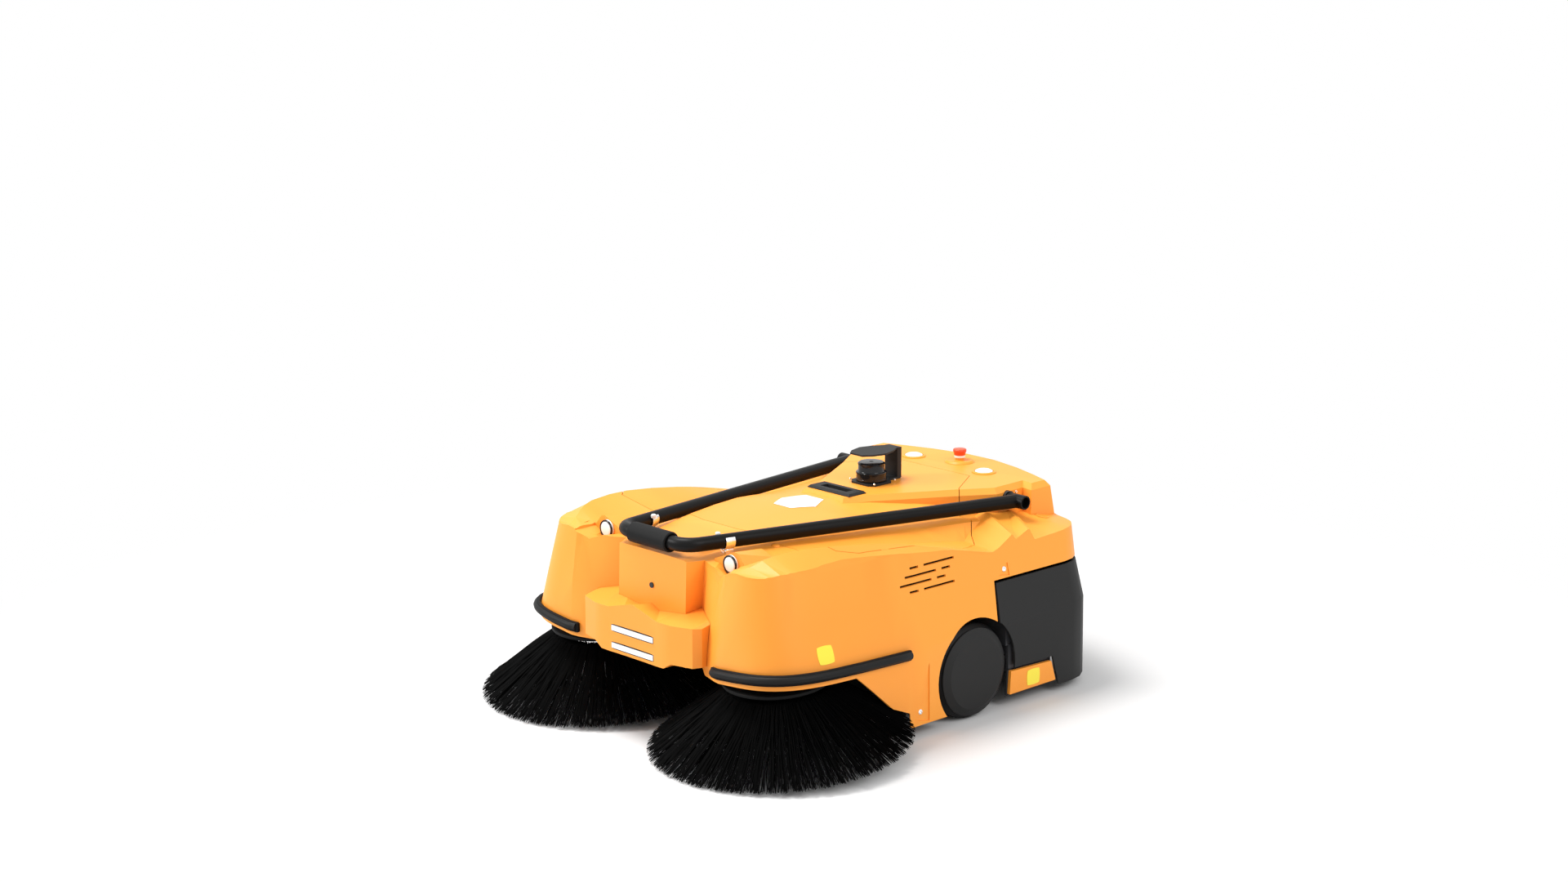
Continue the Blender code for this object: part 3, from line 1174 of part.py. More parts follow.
def build_clips():
    inner = TUBE_RADIUS + PANEL_GAP
    outer = inner + CLIP_SHEET
    x, y, z = CLIP_PLACE
    corners = [(x + dx, y + dy) for dx in (-outer, outer) for dy in (-CLIP_WIDTH / 2, CLIP_WIDTH / 2)]
    low = max(crown_height(cx, cy) for cx, cy in corners) + 2 * SEAT_GAP
    floor = z - inner
    top = z + CLIP_RISE
    section = [(-outer, low), (outer, low), (outer, top), (inner, top), (inner, floor), (-inner, floor),
               (-inner, top), (-outer, top)]
    for side, word in SIDES:
        rings = [[(side * x + cx, cy, cz) for cx, cz in section] for cy in (y - CLIP_WIDTH / 2,
                                                                            y + CLIP_WIDTH / 2)]
        node("clip_" + word, loft(rings), "chrome")


# Lidar under its guard roof
LIDAR_SHARE = 0.418
LIDAR_RADIUS = 0.032
LIDAR_UPPER_RADIUS = 0.028
LIDAR_HEIGHT = 0.039
LIDAR_STEP_SHARES = (0.42, 0.48, 0.82)
LIDAR_DOME_SHARE = 0.8
GUARD_HEIGHT = 0.064
GUARD_POST_HALF = 0.018
GUARD_POST_PLACE = 0.057
GUARD_POST_DEPTH = 0.012
GUARD_SHEET = 0.0035
GUARD_BASE_HALF = (0.035, 0.034)
GUARD_BASE_CORNER = 0.012
GUARD_ROOF_SHARES = ((0.50, -1.30), (0.86, -0.80), (1.10, 0.10), (0.86, 0.95), (0.50, 1.60))


def build_lidar():
    seat = DECK_TOP + SEAT_GAP
    y = along(LIDAR_SHARE)
    post = (y + GUARD_POST_PLACE, y + GUARD_POST_PLACE + GUARD_POST_DEPTH)
    half_x, half_y = GUARD_BASE_HALF
    base = mirrored([(half_x - GUARD_BASE_CORNER, y - half_y), (half_x, y - half_y + GUARD_BASE_CORNER),
                     (half_x, y + half_y - GUARD_BASE_CORNER), (GUARD_POST_HALF, y + half_y),
                     (GUARD_POST_HALF, post[1] - PANEL_GAP)])
    bracket = slab(base, seat, seat + SHEET)
    roof_high = seat + GUARD_HEIGHT + GUARD_SHEET / 2
    bracket = fuse(bracket, box((-GUARD_POST_HALF, GUARD_POST_HALF), post, (seat + SHEET / 2,
                                                                            roof_high - SEAT_GAP)))
    roof = mirrored([(half_x * x_share, y + half_y * y_share) for x_share, y_share in GUARD_ROOF_SHARES]
                    + [(half_x * GUARD_ROOF_SHARES[0][0], post[0] + SHEET)])
    bracket = fuse(bracket, slab(roof, roof_high - GUARD_SHEET, roof_high))
    node("lidar_bracket", bracket, "dark_panel")
    foot = seat + SHEET + SEAT_GAP
    low, step, shoulder = [foot + LIDAR_HEIGHT * share for share in LIDAR_STEP_SHARES]
    body = [(0, foot), (LIDAR_RADIUS, foot), (LIDAR_RADIUS, low), (LIDAR_UPPER_RADIUS, step),
            (LIDAR_UPPER_RADIUS, shoulder), (LIDAR_UPPER_RADIUS * LIDAR_DOME_SHARE, foot + LIDAR_HEIGHT),
            (0, foot + LIDAR_HEIGHT)]
    node("lidar_body", turned(body, (0.0, y, 0.0), "Z", 32), "black_plastic")


# Emergency stop: shallow ring, stem and red mushroom head
STOP_RING_RADIUS = 0.032
STOP_RING_RISE = 0.004
STOP_RADIUS = 0.0145
STOP_RISE = 0.014
STOP_ROUND = 0.003
STEM_RADIUS = 0.009
STEM_RISE = 0.006


def build_deck_items():
    seat = DECK_TOP + SEAT_GAP
    for side, word in SIDES:
        dome = [(0, seat), (DOME_RADIUS, seat), (DOME_RADIUS, seat + DOME_RISE / 2),
                (DOME_RADIUS - DOME_RISE, seat + DOME_RISE), (0, seat + DOME_RISE)]
        place_of = (side * across(DOME_SHARES[0]), along(DOME_SHARES[1]), 0.0)
        node("dome_" + word, turned(dome, place_of, "Z", 28), "white_lens")
    place_of = (0.0, along(STOP_SHARE), 0.0)
    ring = seat + STOP_RING_RISE
    stem = ring + STEM_RISE
    foot = [(0, seat), (STOP_RING_RADIUS, seat), (STOP_RING_RADIUS - STOP_RING_RISE, ring), (STEM_RADIUS,
                                                                                             ring),
            (STEM_RADIUS, stem), (0, stem)]
    node("estop_base", turned(foot, place_of, "Z", 28), "orange_plastic")
    low = stem + SEAT_GAP
    head = [(0, low), (STOP_RADIUS, low), (STOP_RADIUS, low + STOP_RISE - STOP_ROUND),
            (STOP_RADIUS - STOP_ROUND, low + STOP_RISE), (0, low + STOP_RISE)]
    node("estop_button", turned(head, place_of, "Z", 24), "red_button")


def build_lid_grip():
    """Pull for the lid: a bevelled rim on the lid over a cup sunk through it."""
    seat = DECK_TOP + SEAT_GAP
    y = along(GRIP_PLATE_SHARE)
    half_x, half_y = GRIP_PLATE_HALF
    outline = [(-half_x, y - half_y), (half_x, y - half_y), (half_x, y + half_y), (-half_x, y + half_y)]
    rings = []
    for inset, height in ((0.0, seat), (0.0, seat + GRIP_RISE - GRIP_DRAFT), (GRIP_DRAFT,
                                                                              seat + GRIP_RISE)):
        rings.append([(px, py, height) for px, py in shrunk(outline, inset)])
    grip = fuse(loft(rings), grip_box(GRIP_SHEET, DECK_TOP - GRIP_CUP_DEPTH, seat + GRIP_RISE / 2))
    cup = grip_box(0.0, DECK_TOP - GRIP_CUP_DEPTH + GRIP_SHEET, seat + OVERRUN)
    node("lid_grip", cut(grip, cup), "dark_panel")


def centre_over_origin():
    """Slide the whole machine along so that its overall box is centred over the origin."""
    bpy.context.view_layer.update()
    reach = []
    for obj in bpy.data.objects:
        if obj.type == "MESH":
            reach += [(obj.matrix_world @ Vector(corner)).y for corner in obj.bound_box]
    for obj in bpy.data.objects:
        if obj.parent is None:
            obj.location.y -= (min(reach) + max(reach)) / 2


build_cowl()
build_lamps()
build_nose()
build_strips()
build_brushes()
build_chassis()
build_lift_plates()
build_ramp()
build_drive()
build_battery()
build_castors()
build_hopper()
build_handle()
build_clips()
build_lidar()
build_deck_items()
build_lid_grip()
centre_over_origin()
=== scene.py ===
import json
import math
import random

import bpy
from mathutils import Matrix, Vector


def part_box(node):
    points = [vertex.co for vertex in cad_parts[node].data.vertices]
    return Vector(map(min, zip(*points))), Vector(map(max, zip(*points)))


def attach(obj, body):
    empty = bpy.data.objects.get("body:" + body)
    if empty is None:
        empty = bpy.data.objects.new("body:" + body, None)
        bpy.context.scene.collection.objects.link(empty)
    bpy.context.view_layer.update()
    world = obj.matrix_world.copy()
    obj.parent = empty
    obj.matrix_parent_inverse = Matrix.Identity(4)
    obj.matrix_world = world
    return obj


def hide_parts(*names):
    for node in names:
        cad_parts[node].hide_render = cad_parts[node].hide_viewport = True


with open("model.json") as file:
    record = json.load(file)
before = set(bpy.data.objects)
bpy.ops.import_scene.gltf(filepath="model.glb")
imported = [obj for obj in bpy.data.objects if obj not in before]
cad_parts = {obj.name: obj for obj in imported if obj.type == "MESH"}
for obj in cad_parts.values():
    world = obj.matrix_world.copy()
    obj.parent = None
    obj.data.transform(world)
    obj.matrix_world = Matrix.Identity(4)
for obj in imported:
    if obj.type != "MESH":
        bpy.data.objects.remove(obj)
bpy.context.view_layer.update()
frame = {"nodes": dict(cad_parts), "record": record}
nodes = frame["nodes"]
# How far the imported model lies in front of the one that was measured, in metres
shift = -0.02767
sides = (("left", 1), ("right", -1))


def deselect():
    if bpy.context.object and bpy.context.object.mode != "OBJECT":
        bpy.ops.object.mode_set(mode="OBJECT")
    bpy.ops.object.select_all(action="DESELECT")


def pick(obj):
    deselect()
    obj.select_set(True)
    bpy.context.view_layer.objects.active = obj


def named(name):
    obj = bpy.context.object
    obj.name = name
    return obj


def onFaces(obj, test, action):
    # Run an edit-mode action on the faces whose centre and normal pass the test
    pick(obj)
    bpy.ops.object.mode_set(mode="EDIT")
    bpy.ops.mesh.select_mode(type="FACE")
    bpy.ops.mesh.select_all(action="DESELECT")
    bpy.ops.object.mode_set(mode="OBJECT")
    for face in obj.data.polygons:
        face.select = bool(test(face.center, face.normal))
    bpy.ops.object.mode_set(mode="EDIT")
    action()
    bpy.ops.object.mode_set(mode="OBJECT")


def applied(obj, kind, **settings):
    pick(obj)
    modifier = obj.modifiers.new(kind.lower(), kind)
    for key, value in settings.items():
        setattr(modifier, key, value)
    bpy.ops.object.modifier_apply(modifier=modifier.name)


def settled(obj, move=(0, 0, 0), turn=None):
    # Put an object's place into its mesh, after an optional turn and move
    whole = Matrix.Translation(Vector(move)) @ (turn or Matrix.Identity(4)) @ obj.matrix_world
    obj.data.transform(whole)
    obj.matrix_world = Matrix.Identity(4)
    obj.data.update()


def finished(obj, material, body, angle=35):
    obj.data.materials.clear()
    obj.data.materials.append(material)
    pick(obj)
    bpy.ops.object.shade_smooth_by_angle(angle=math.radians(angle))
    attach(obj, body)
    return obj


def copyOf(obj, name):
    twin = obj.copy()
    twin.data = obj.data.copy()
    twin.name = name
    bpy.context.collection.objects.link(twin)
    return twin


def joinedPieces(objects):
    deselect()
    for obj in objects:
        obj.select_set(True)
    bpy.context.view_layer.objects.active = objects[0]
    bpy.ops.object.join()
    return bpy.context.object


# Materials: colour in linear light, roughness, scale and depth of the grain, drift of the tone, rubbed edges
finishes = {
    "orange": {"colour": (0.93, 0.325, 0.034), "roughness": 0.42, "grain": 1400, "bump": 0.05,
               "drift": 0.02, "wear": 0.1},
    "darkPanel": {"colour": (0.017, 0.017, 0.017), "roughness": 0.55, "grain": 1600, "bump": 0.12,
                  "drift": 0.06, "wear": 0.25, "specular": 0.18},
    "blackGloss": {"colour": (0.008, 0.008, 0.009), "roughness": 0.14, "grain": 500, "bump": 0.01,
                   "drift": 0.05, "wear": 0.1},
    "satinBlack": {"colour": (0.0035, 0.0035, 0.0035), "roughness": 0.38, "grain": 1200, "bump": 0.06,
                   "drift": 0.05, "wear": 0.2, "specular": 0.12},
    "foam": {"colour": (0.004, 0.004, 0.004), "roughness": 0.62, "grain": 1900, "bump": 0.35,
             "drift": 0.08, "wear": 0.15, "specular": 0.15},
    "rubber": {"colour": (0.0055, 0.0055, 0.0055), "roughness": 0.5, "grain": 900, "bump": 0.2,
               "drift": 0.1, "wear": 0.35, "specular": 0.16},
    "bristle": {"colour": (0.0018, 0.0018, 0.0018), "roughness": 0.6, "grain": 300, "bump": 0.05,
                "drift": 0.3, "wear": 0.0, "specular": 0.03},
    "white": {"colour": (0.88, 0.88, 0.86), "roughness": 0.22, "grain": 700, "bump": 0.01,
              "drift": 0.01, "wear": 0.03},
    "red": {"colour": (0.95, 0.075, 0.020), "roughness": 0.28, "grain": 800, "bump": 0.02,
            "drift": 0.03, "wear": 0.08},
    "chrome": {"colour": (0.90, 0.90, 0.90), "roughness": 0.12, "grain": 600, "bump": 0.01,
               "drift": 0.02, "wear": 0.05, "metallic": 1.0},
    "paleRubber": {"colour": (0.78, 0.77, 0.74), "roughness": 0.55, "grain": 1200, "bump": 0.1,
                   "drift": 0.03, "wear": 0.1},
    "steel": {"colour": (0.050, 0.050, 0.055), "roughness": 0.45, "grain": 1100, "bump": 0.08,
              "drift": 0.08, "wear": 0.3, "metallic": 0.4},
    "motorMetal": {"colour": (0.33, 0.34, 0.35), "roughness": 0.38, "grain": 900, "bump": 0.05,
                   "drift": 0.06, "wear": 0.15, "metallic": 0.85},
    "batteryCase": {"colour": (0.055, 0.065, 0.075), "roughness": 0.5, "grain": 1000, "bump": 0.1,
                    "drift": 0.06, "wear": 0.2},
    "paleLabel": {"colour": (0.80, 0.80, 0.79), "roughness": 0.3, "grain": 1500, "bump": 0.02,
                  "drift": 0.02, "wear": 0.05},
    "yellow": {"colour": (0.95, 0.78, 0.06), "roughness": 0.35, "grain": 1500, "bump": 0.02,
               "drift": 0.02, "wear": 0.05},
}
# Shared by all finishes
common = {"specular": 0.35, "driftScale": 7.0, "rubbed": (0.52, 0.62), "roughSpan": (-0.06, 0.08),
          "relief": 0.0004}


def finishMaterial(name, values):
    material = bpy.data.materials.new(name)
    material.use_nodes = True
    tree = material.node_tree
    add = tree.nodes.new
    join = tree.links.new
    shader = tree.nodes["Principled BSDF"]
    shader.inputs["Metallic"].default_value = values.get("metallic", 0.0)
    shader.inputs["Specular IOR Level"].default_value = values.get("specular", common["specular"])
    place = add("ShaderNodeTexCoord")
    colour = values["colour"]
    drift = add("ShaderNodeTexNoise")
    drift.inputs["Scale"].default_value = common["driftScale"]
    drift.inputs["Detail"].default_value = 5.0
    join(place.outputs["Object"], drift.inputs["Vector"])
    tone = add("ShaderNodeMixRGB")
    tone.inputs["Color1"].default_value = (*[c * (1 - values["drift"]) for c in colour], 1)
    tone.inputs["Color2"].default_value = (*[min(1.0, c * (1 + values["drift"])) for c in colour], 1)
    join(drift.outputs["Fac"], tone.inputs["Fac"])
    # Rubbed edges: a little paler where the surface turns sharply
    edge = add("ShaderNodeNewGeometry")
    ramp = add("ShaderNodeMapRange")
    ramp.inputs["From Min"].default_value, ramp.inputs["From Max"].default_value = common["rubbed"]
    ramp.inputs["To Max"].default_value = values["wear"]
    join(edge.outputs["Pointiness"], ramp.inputs["Value"])
    worn = add("ShaderNodeMixRGB")
    worn.inputs["Color2"].default_value = (*[min(1.0, c * 1.6 + 0.03) for c in colour], 1)
    join(ramp.outputs["Result"], worn.inputs["Fac"])
    join(tone.outputs["Color"], worn.inputs["Color1"])
    join(worn.outputs["Color"], shader.inputs["Base Color"])
    fine = add("ShaderNodeTexNoise")
    fine.inputs["Scale"].default_value = values["grain"]
    fine.inputs["Detail"].default_value = 3.0
    join(place.outputs["Object"], fine.inputs["Vector"])
    patches = add("ShaderNodeMath")
    patches.operation = "MULTIPLY_ADD"
    patches.inputs[1].default_value = 0.5
    join(drift.outputs["Fac"], patches.inputs[0])
    join(fine.outputs["Fac"], patches.inputs[2])
    # Roughness wanders with the tone and the grain
    span = add("ShaderNodeMapRange")
    span.inputs["From Max"].default_value = 1.4
    span.inputs["To Min"].default_value = max(0.02, values["roughness"] + common["roughSpan"][0])
    span.inputs["To Max"].default_value = values["roughness"] + common["roughSpan"][1]
    join(patches.outputs["Value"], span.inputs["Value"])
    join(span.outputs["Result"], shader.inputs["Roughness"])
    relief = add("ShaderNodeBump")
    relief.inputs["Strength"].default_value = values["bump"]
    relief.inputs["Distance"].default_value = common["relief"]
    join(fine.outputs["Fac"], relief.inputs["Height"])
    join(relief.outputs["Normal"], shader.inputs["Normal"])
    return material


finish = {name: finishMaterial(name, values) for name, values in finishes.items()}
ownFinish = {"brush_left_hub": "foam", "brush_right_hub": "foam", "collector_ramp": "foam"}
slotFinish = {
    "orange_plastic": "orange", "dark_panel": "darkPanel", "black_plastic": "blackGloss", "grip_foam": "foam",
    "handle_steel": "satinBlack", "tyre_rubber": "rubber", "bristle": "bristle", "chrome": "chrome",
    "white_lens": "white", "red_button": "red", "dark_steel": "steel", "motor_metal": "motorMetal",
    "battery_case": "batteryCase",
}
for row in frame["record"]["subparts"]:
    obj = nodes[row["node"]]
    obj.data.materials.clear()
    obj.data.materials.append(finish[ownFinish.get(row["node"], slotFinish[row["material_slot"]])])
print("materials done")

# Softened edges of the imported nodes: width of the round in metres, angle in degrees that counts as an edge
rounds = {
    "main_cowl": (0.004, 24), "top_lid": (0.0025, 16), "nose_block": (0.009, 20), "hopper_bin": (0.003, 25),
    "lift_plate_left": (0.002, 30), "lift_plate_right": (0.002, 30), "bumper_strip_left": (0.003, 50),
    "bumper_strip_right": (0.003, 50), "lid_grip": (0.0012, 25), "lidar_bracket": (0.0006, 30),
    "estop_base": (0.001, 30), "estop_button": (0.0015, 30),
    "dome_left": (0.0006, 30), "dome_right": (0.0006, 30),
    "handle_tube": (0.001, 35), "handle_grip": (0.003, 35), "wheel_left_hub": (0.0015, 25),
    "wheel_right_hub": (0.0015, 25), "wheel_left_tyre": (0.002, 30), "wheel_right_tyre": (0.002, 30),
    "chassis_frame": (0.0008, 30), "battery_pack": (0.006, 40), "brush_left_hub": (0.001, 30),
    "brush_right_hub": (0.001, 30), "castor_left_fork": (0.0006, 30), "castor_right_fork": (0.0006, 30),
}
edges = {"merge": 0.00002, "segments": 3, "crease": 32, "weight": 60}
for name, obj in nodes.items():
    pick(obj)
    if obj.data.has_custom_normals:
        bpy.ops.mesh.customdata_custom_splitnormals_clear()
    bpy.ops.object.shade_smooth()
    joined = obj.modifiers.new("joined", "WELD")
    joined.merge_threshold = edges["merge"]
    if name in rounds:
        width, angle = rounds[name]
        softened = obj.modifiers.new("softened", "BEVEL")
        softened.width = width
        softened.segments = edges["segments"]
        softened.limit_method = "ANGLE"
        softened.angle_limit = math.radians(angle)
        softened.use_clamp_overlap = True
    split = obj.modifiers.new("split", "EDGE_SPLIT")
    split.split_angle = math.radians(edges["crease"])
    split.use_edge_sharp = False
    if name in rounds:
        evened = obj.modifiers.new("evened", "WEIGHTED_NORMAL")
        evened.keep_sharp = True
        evened.weight = edges["weight"]
print("edges done")

# Brush bristles: tufts of strands fanned round the leaning axis, in metres and degrees
brush = {"centre": (0.252, -0.283 + shift, 0.0237), "lean": 5.0, "rootReach": (0.078, 0.103),
         "rootHeight": 0.1115, "tipReach": 0.2540, "tipHeight": 0.0012, "thickness": 0.00120,
         "strands": 34, "tufts": 76, "kinds": 4,
         "lengths": 6, "shorter": 0.013, "innerShorter": 0.020, "lift": 0.005, "sag": (-0.004, 0.006),
         "sway": 0.006, "fan": 2.6, "curl": 0.004, "taper": 0.45, "unevenSpacing": 0.25, "seed": 7}


def strandMesh():
    # One straight strand along +X from zero to one metre
    bpy.ops.mesh.primitive_circle_add(vertices=3, radius=brush["thickness"], fill_type="NGON",
                                      rotation=(0, math.pi / 2, 0))
    obj = named("strand")
    settled(obj)
    steps = brush["lengths"]
    for k in range(steps):
        onFaces(obj, lambda centre, normal, k=k: centre.x > (k - 0.5) / steps and abs(normal.x) > 0.9,
                lambda: bpy.ops.mesh.extrude_region_move(TRANSFORM_OT_translate={"value": (1 / steps, 0, 0)}))
    return obj


def bentStrand(source, rng):
    # A copy of the strand laid from the hub down to the floor, with its own length and curl
    strand = copyOf(source, "strand")
    layer = rng.random()
    root = brush["rootReach"][0] + (brush["rootReach"][1] - brush["rootReach"][0]) * layer
    tip = brush["tipReach"] - brush["shorter"] * rng.random() ** 2.5 - (1 - layer) ** 3 * brush["innerShorter"]
    low = brush["tipHeight"] + brush["lift"] * rng.random() * layer
    sag = rng.uniform(*brush["sag"])
    sway = rng.uniform(-brush["sway"], brush["sway"])
    turn = rng.gauss(0, math.radians(brush["fan"]))
    curl = rng.uniform(-brush["curl"], brush["curl"])
    for vertex in strand.data.vertices:
        along = vertex.co.x
        side = vertex.co.y * (1 - brush["taper"] * along)
        rise = vertex.co.z * (1 - brush["taper"] * along)
        reach = root + (tip - root) * along
        height = brush["rootHeight"] + (low - brush["rootHeight"]) * along - sag * math.sin(math.pi * along)
        across = sway * along + curl * math.sin(2 * math.pi * along)
        height = max(height + rise, brush["tipHeight"])
        vertex.co = Matrix.Rotation(turn, 3, "Z") @ Vector((reach, across + side, height))
    return strand


rng = random.Random(brush["seed"])
source = strandMesh()
kinds = []
for kind in range(brush["kinds"]):
    kinds.append(joinedPieces([bentStrand(source, rng) for k in range(brush["strands"])]))
bpy.data.objects.remove(source)
for word, side in sides:
    tufts = []
    for k in range(brush["tufts"]):
        tuft = copyOf(kinds[k % brush["kinds"]], "tuft")
        uneven = rng.uniform(-brush["unevenSpacing"], brush["unevenSpacing"])
        swing = 2 * math.pi * (k + uneven) / brush["tufts"]
        tuft.data.transform(Matrix.Rotation(swing, 4, "Z"))
        tufts.append(tuft)
    skirt = joinedPieces(tufts)
    skirt.name = "bristles_" + word
    x, y, z = brush["centre"]
    lean = Matrix.Rotation(math.radians(brush["lean"]), 4, "X")
    skirt.data.transform(Matrix.Translation((side * x, y, z)) @ lean)
    finished(skirt, finish["bristle"], "brush_" + word, 60)
    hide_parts("brush_%s_bristles" % word)
for kind in kinds:
    bpy.data.objects.remove(kind)
print("bristles done")


def turnedPiece(name, profile, centre, turn=None, steps=48):
    # Round piece grown from a disc: each step extrudes its end face to a new radius and height
    radius, height = profile[0]
    bpy.ops.mesh.primitive_circle_add(vertices=steps, radius=radius, fill_type="NGON",
                                      location=(0, 0, height))
    obj = named(name)
    settled(obj)
    for nextRadius, nextHeight in profile[1:]:
        rise = nextHeight - height
        share = nextRadius / radius
        top = height

        def grow(rise=rise, share=share):
            bpy.ops.mesh.extrude_region_move(TRANSFORM_OT_translate={"value": (0, 0, rise)})
            bpy.ops.transform.resize(value=(share, share, 1), center_override=(0, 0, top + rise))

        onFaces(obj, lambda centre, normal: abs(centre.z - top) < 1e-6 and abs(normal.z) > 0.99
                and centre.xy.length < 1e-5, grow)
        radius, height = nextRadius, nextHeight
    onFaces(obj, lambda centre, normal: True, lambda: bpy.ops.mesh.normals_make_consistent(inside=False))
    settled(obj, centre, turn)
    return obj


def flankPoint(side, y, z):
    # Where a level line from outside meets the cowl's flank, with the flank's direction there
    return nodes["main_cowl"].ray_cast(Vector((side, y, z)), Vector((-side, 0, 0)))[1:3]


def facing(direction):
    # Turn that points +Z along a direction
    return direction.to_track_quat("Z", "Y").to_matrix().to_4x4()


# Lamps: white lens in a black ring
lamp = {"x": 0.179, "y": -0.372, "z": 0.364, "ring": 0.0180, "lens": 0.0146, "front": 0.0020}
for word, side in sides:
    forward = Matrix.Rotation(math.radians(90), 4, "X")
    place = (side * lamp["x"], lamp["y"], lamp["z"])
    r, n, d = lamp["ring"], lamp["lens"], lamp["front"]
    ring = turnedPiece("lampRing_" + word, [(r, -0.001), (r, d * 0.5), (r - 0.0006, d), (n + 0.0010, d),
                                            (n + 0.0004, d * 0.4), (n, 0.0002)], place, forward)
    finished(ring, finish["blackGloss"], "body")
    lens = turnedPiece("lampLens_" + word, [(n, 0.0000), (n, d * 0.5), (n * 0.93, d * 0.95),
                                            (n * 0.75, d * 1.2), (n * 0.4, d * 1.4), (n * 0.05, d * 1.45)],
                       place, forward)
    finished(lens, finish["white"], "body", 60)
print("lamps done")

# Handle clips: open spring bands with a rubber cap on the inner arm
clip = {"x": 0.1115, "y": -0.318, "z": 0.3868, "reach": 0.0153, "width": 0.020, "sheet": 0.0014,
        "foot": 0.3625, "footLength": 0.016, "opening": 0.0085, "capPlace": (0.0035, -0.006, 0.0065),
        "pivot": (0.264, 0.356)}
# The bands follow the tube, which runs outwards from the clip to its pivot
tubeRun = math.atan2(clip["pivot"][0] - clip["x"], clip["pivot"][1] - clip["y"])
for word, side in sides:
    bpy.ops.mesh.primitive_cylinder_add(vertices=40, radius=clip["reach"], depth=clip["width"],
                                        end_fill_type="NOTHING", rotation=(math.pi / 2, 0, 0))
    band = named("clipBand_" + word)
    settled(band)
    onFaces(band, lambda centre, normal: centre.z > clip["opening"], lambda: bpy.ops.mesh.delete(type="FACE"))
    applied(band, "SOLIDIFY", thickness=clip["sheet"], offset=1.0)
    applied(band, "BEVEL", width=0.0004, segments=2)
    settled(band, (side * clip["x"], clip["y"], clip["z"]), Matrix.Rotation(-side * tubeRun, 4, "Z"))
    finished(band, finish["chrome"], "body")
    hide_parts("clip_" + word)
    footTop = clip["z"] - clip["reach"]
    footPlace = (side * clip["x"], clip["y"], (clip["foot"] + footTop) / 2)
    bpy.ops.mesh.primitive_cube_add(size=1, location=footPlace,
                                    scale=(clip["footLength"], clip["width"], footTop - clip["foot"]))
    foot = named("clipFoot_" + word)
    settled(foot)
    applied(foot, "BEVEL", width=0.001, segments=2)
    finished(foot, finish["chrome"], "body")
    inward, ahead, up = clip["capPlace"]
    capPlace = (side * (clip["x"] - clip["reach"] - inward), clip["y"] + ahead, clip["z"] + up)
    cap = turnedPiece("clipCap_" + word, [(0.0040, 0), (0.0052, 0.0012), (0.0052, 0.0060), (0.0040, 0.0078),
                                          (0.0008, 0.0084)], capPlace, steps=24)
    applied(cap, "BEVEL", width=0.0004, segments=2, limit_method="ANGLE")
    finished(cap, finish["paleRubber"], "body", 60)
print("clips done")

# Fixing screws in the flanks: pan heads with a round socket
screw = {"radius": 0.0056, "height": 0.0034, "socket": 0.0026, "places": ((0.229, 0.279), (-0.033, 0.052))}
# Screw in the handle's pocket, dish on the rear shelf and bump beside the lid, with radius and height at
# each step of their profile
small = {
    "pivotScrew": {"place": (0.2135, 0.3840, 0.3795), "towards": (0.99, 0.03, 0.14), "finish": "chrome",
                   "slot": "chrome", "profile": [(0.0034, -0.0015), (0.0036, 0.0008), (0.0030, 0.0018),
                                                 (0.0016, 0.0019), (0.0014, 0.0010)]},
    "shelfDish": {"place": (0.2620, 0.4100, 0.3330), "towards": (0.11, 0.13, 0.99), "finish": "orange",
                  "slot": "orange_plastic", "profile": [(0.0135, -0.0010), (0.0135, 0.0010), (0.0122, 0.0016),
                                                        (0.0108, 0.0008), (0.0030, 0.0004)]},
    "deckBump": {"place": (0.1400, -0.2190, 0.3640), "towards": (0.13, -0.03, 0.99), "finish": "orange",
                 "slot": "orange_plastic", "profile": [(0.0085, -0.0015), (0.0082, 0.0008), (0.0066, 0.0024),
                                                       (0.0036, 0.0031), (0.0008, 0.0033)]},
}
for word, side in sides:
    for number, (y, z) in enumerate(screw["places"]):
        place, normal = flankPoint(side, y + shift, z)
        r, h, s = screw["radius"], screw["height"], screw["socket"]
        head = turnedPiece("flankScrew_%s_%d" % (word, number),
                           [(r * 0.95, -0.0025), (r, 0.0006), (r * 0.96, h * 0.6), (r * 0.8, h * 0.92),
                            (r * 0.6, h), (s, h), (s * 0.96, h * 0.35), (s * 0.3, h * 0.2)],
                           place, facing(normal), 30)
        finished(head, finish["chrome"], "body", 30)
    mirror = Matrix.Diagonal((side, 1, 1))
    for piece, values in small.items():
        spot = turnedPiece("%s_%s" % (piece, word), values["profile"], mirror @ Vector(values["place"]),
                           facing(mirror @ Vector(values["towards"])), 32)
        finished(spot, finish[values["finish"]], "body")
print("screws done")


def platePiece(name, width, height, corner, cells=12):
    # Thin blank sticker with rounded corners, flat on the X-Y plane
    bpy.ops.mesh.primitive_grid_add(x_subdivisions=cells, y_subdivisions=cells, size=2)
    obj = named(name)
    settled(obj)
    for vertex in obj.data.vertices:
        x, y = vertex.co.x, vertex.co.y
        pull = 1 - corner * (x * y) ** 2
        vertex.co = Vector((x * pull * width / 2, y * pull * height / 2, 0))
    return obj


def wrapped(obj, target, direction, offset=0.0005, sheet=0.0004):
    # Lay a plate on a surface along one axis, then give it thickness
    applied(obj, "SHRINKWRAP", target=target, wrap_method="PROJECT", use_project_x=direction == "X",
            use_project_y=direction == "Y", use_project_z=direction == "Z", use_negative_direction=True,
            use_positive_direction=True, offset=offset)
    applied(obj, "SOLIDIFY", thickness=sheet, offset=0.0)


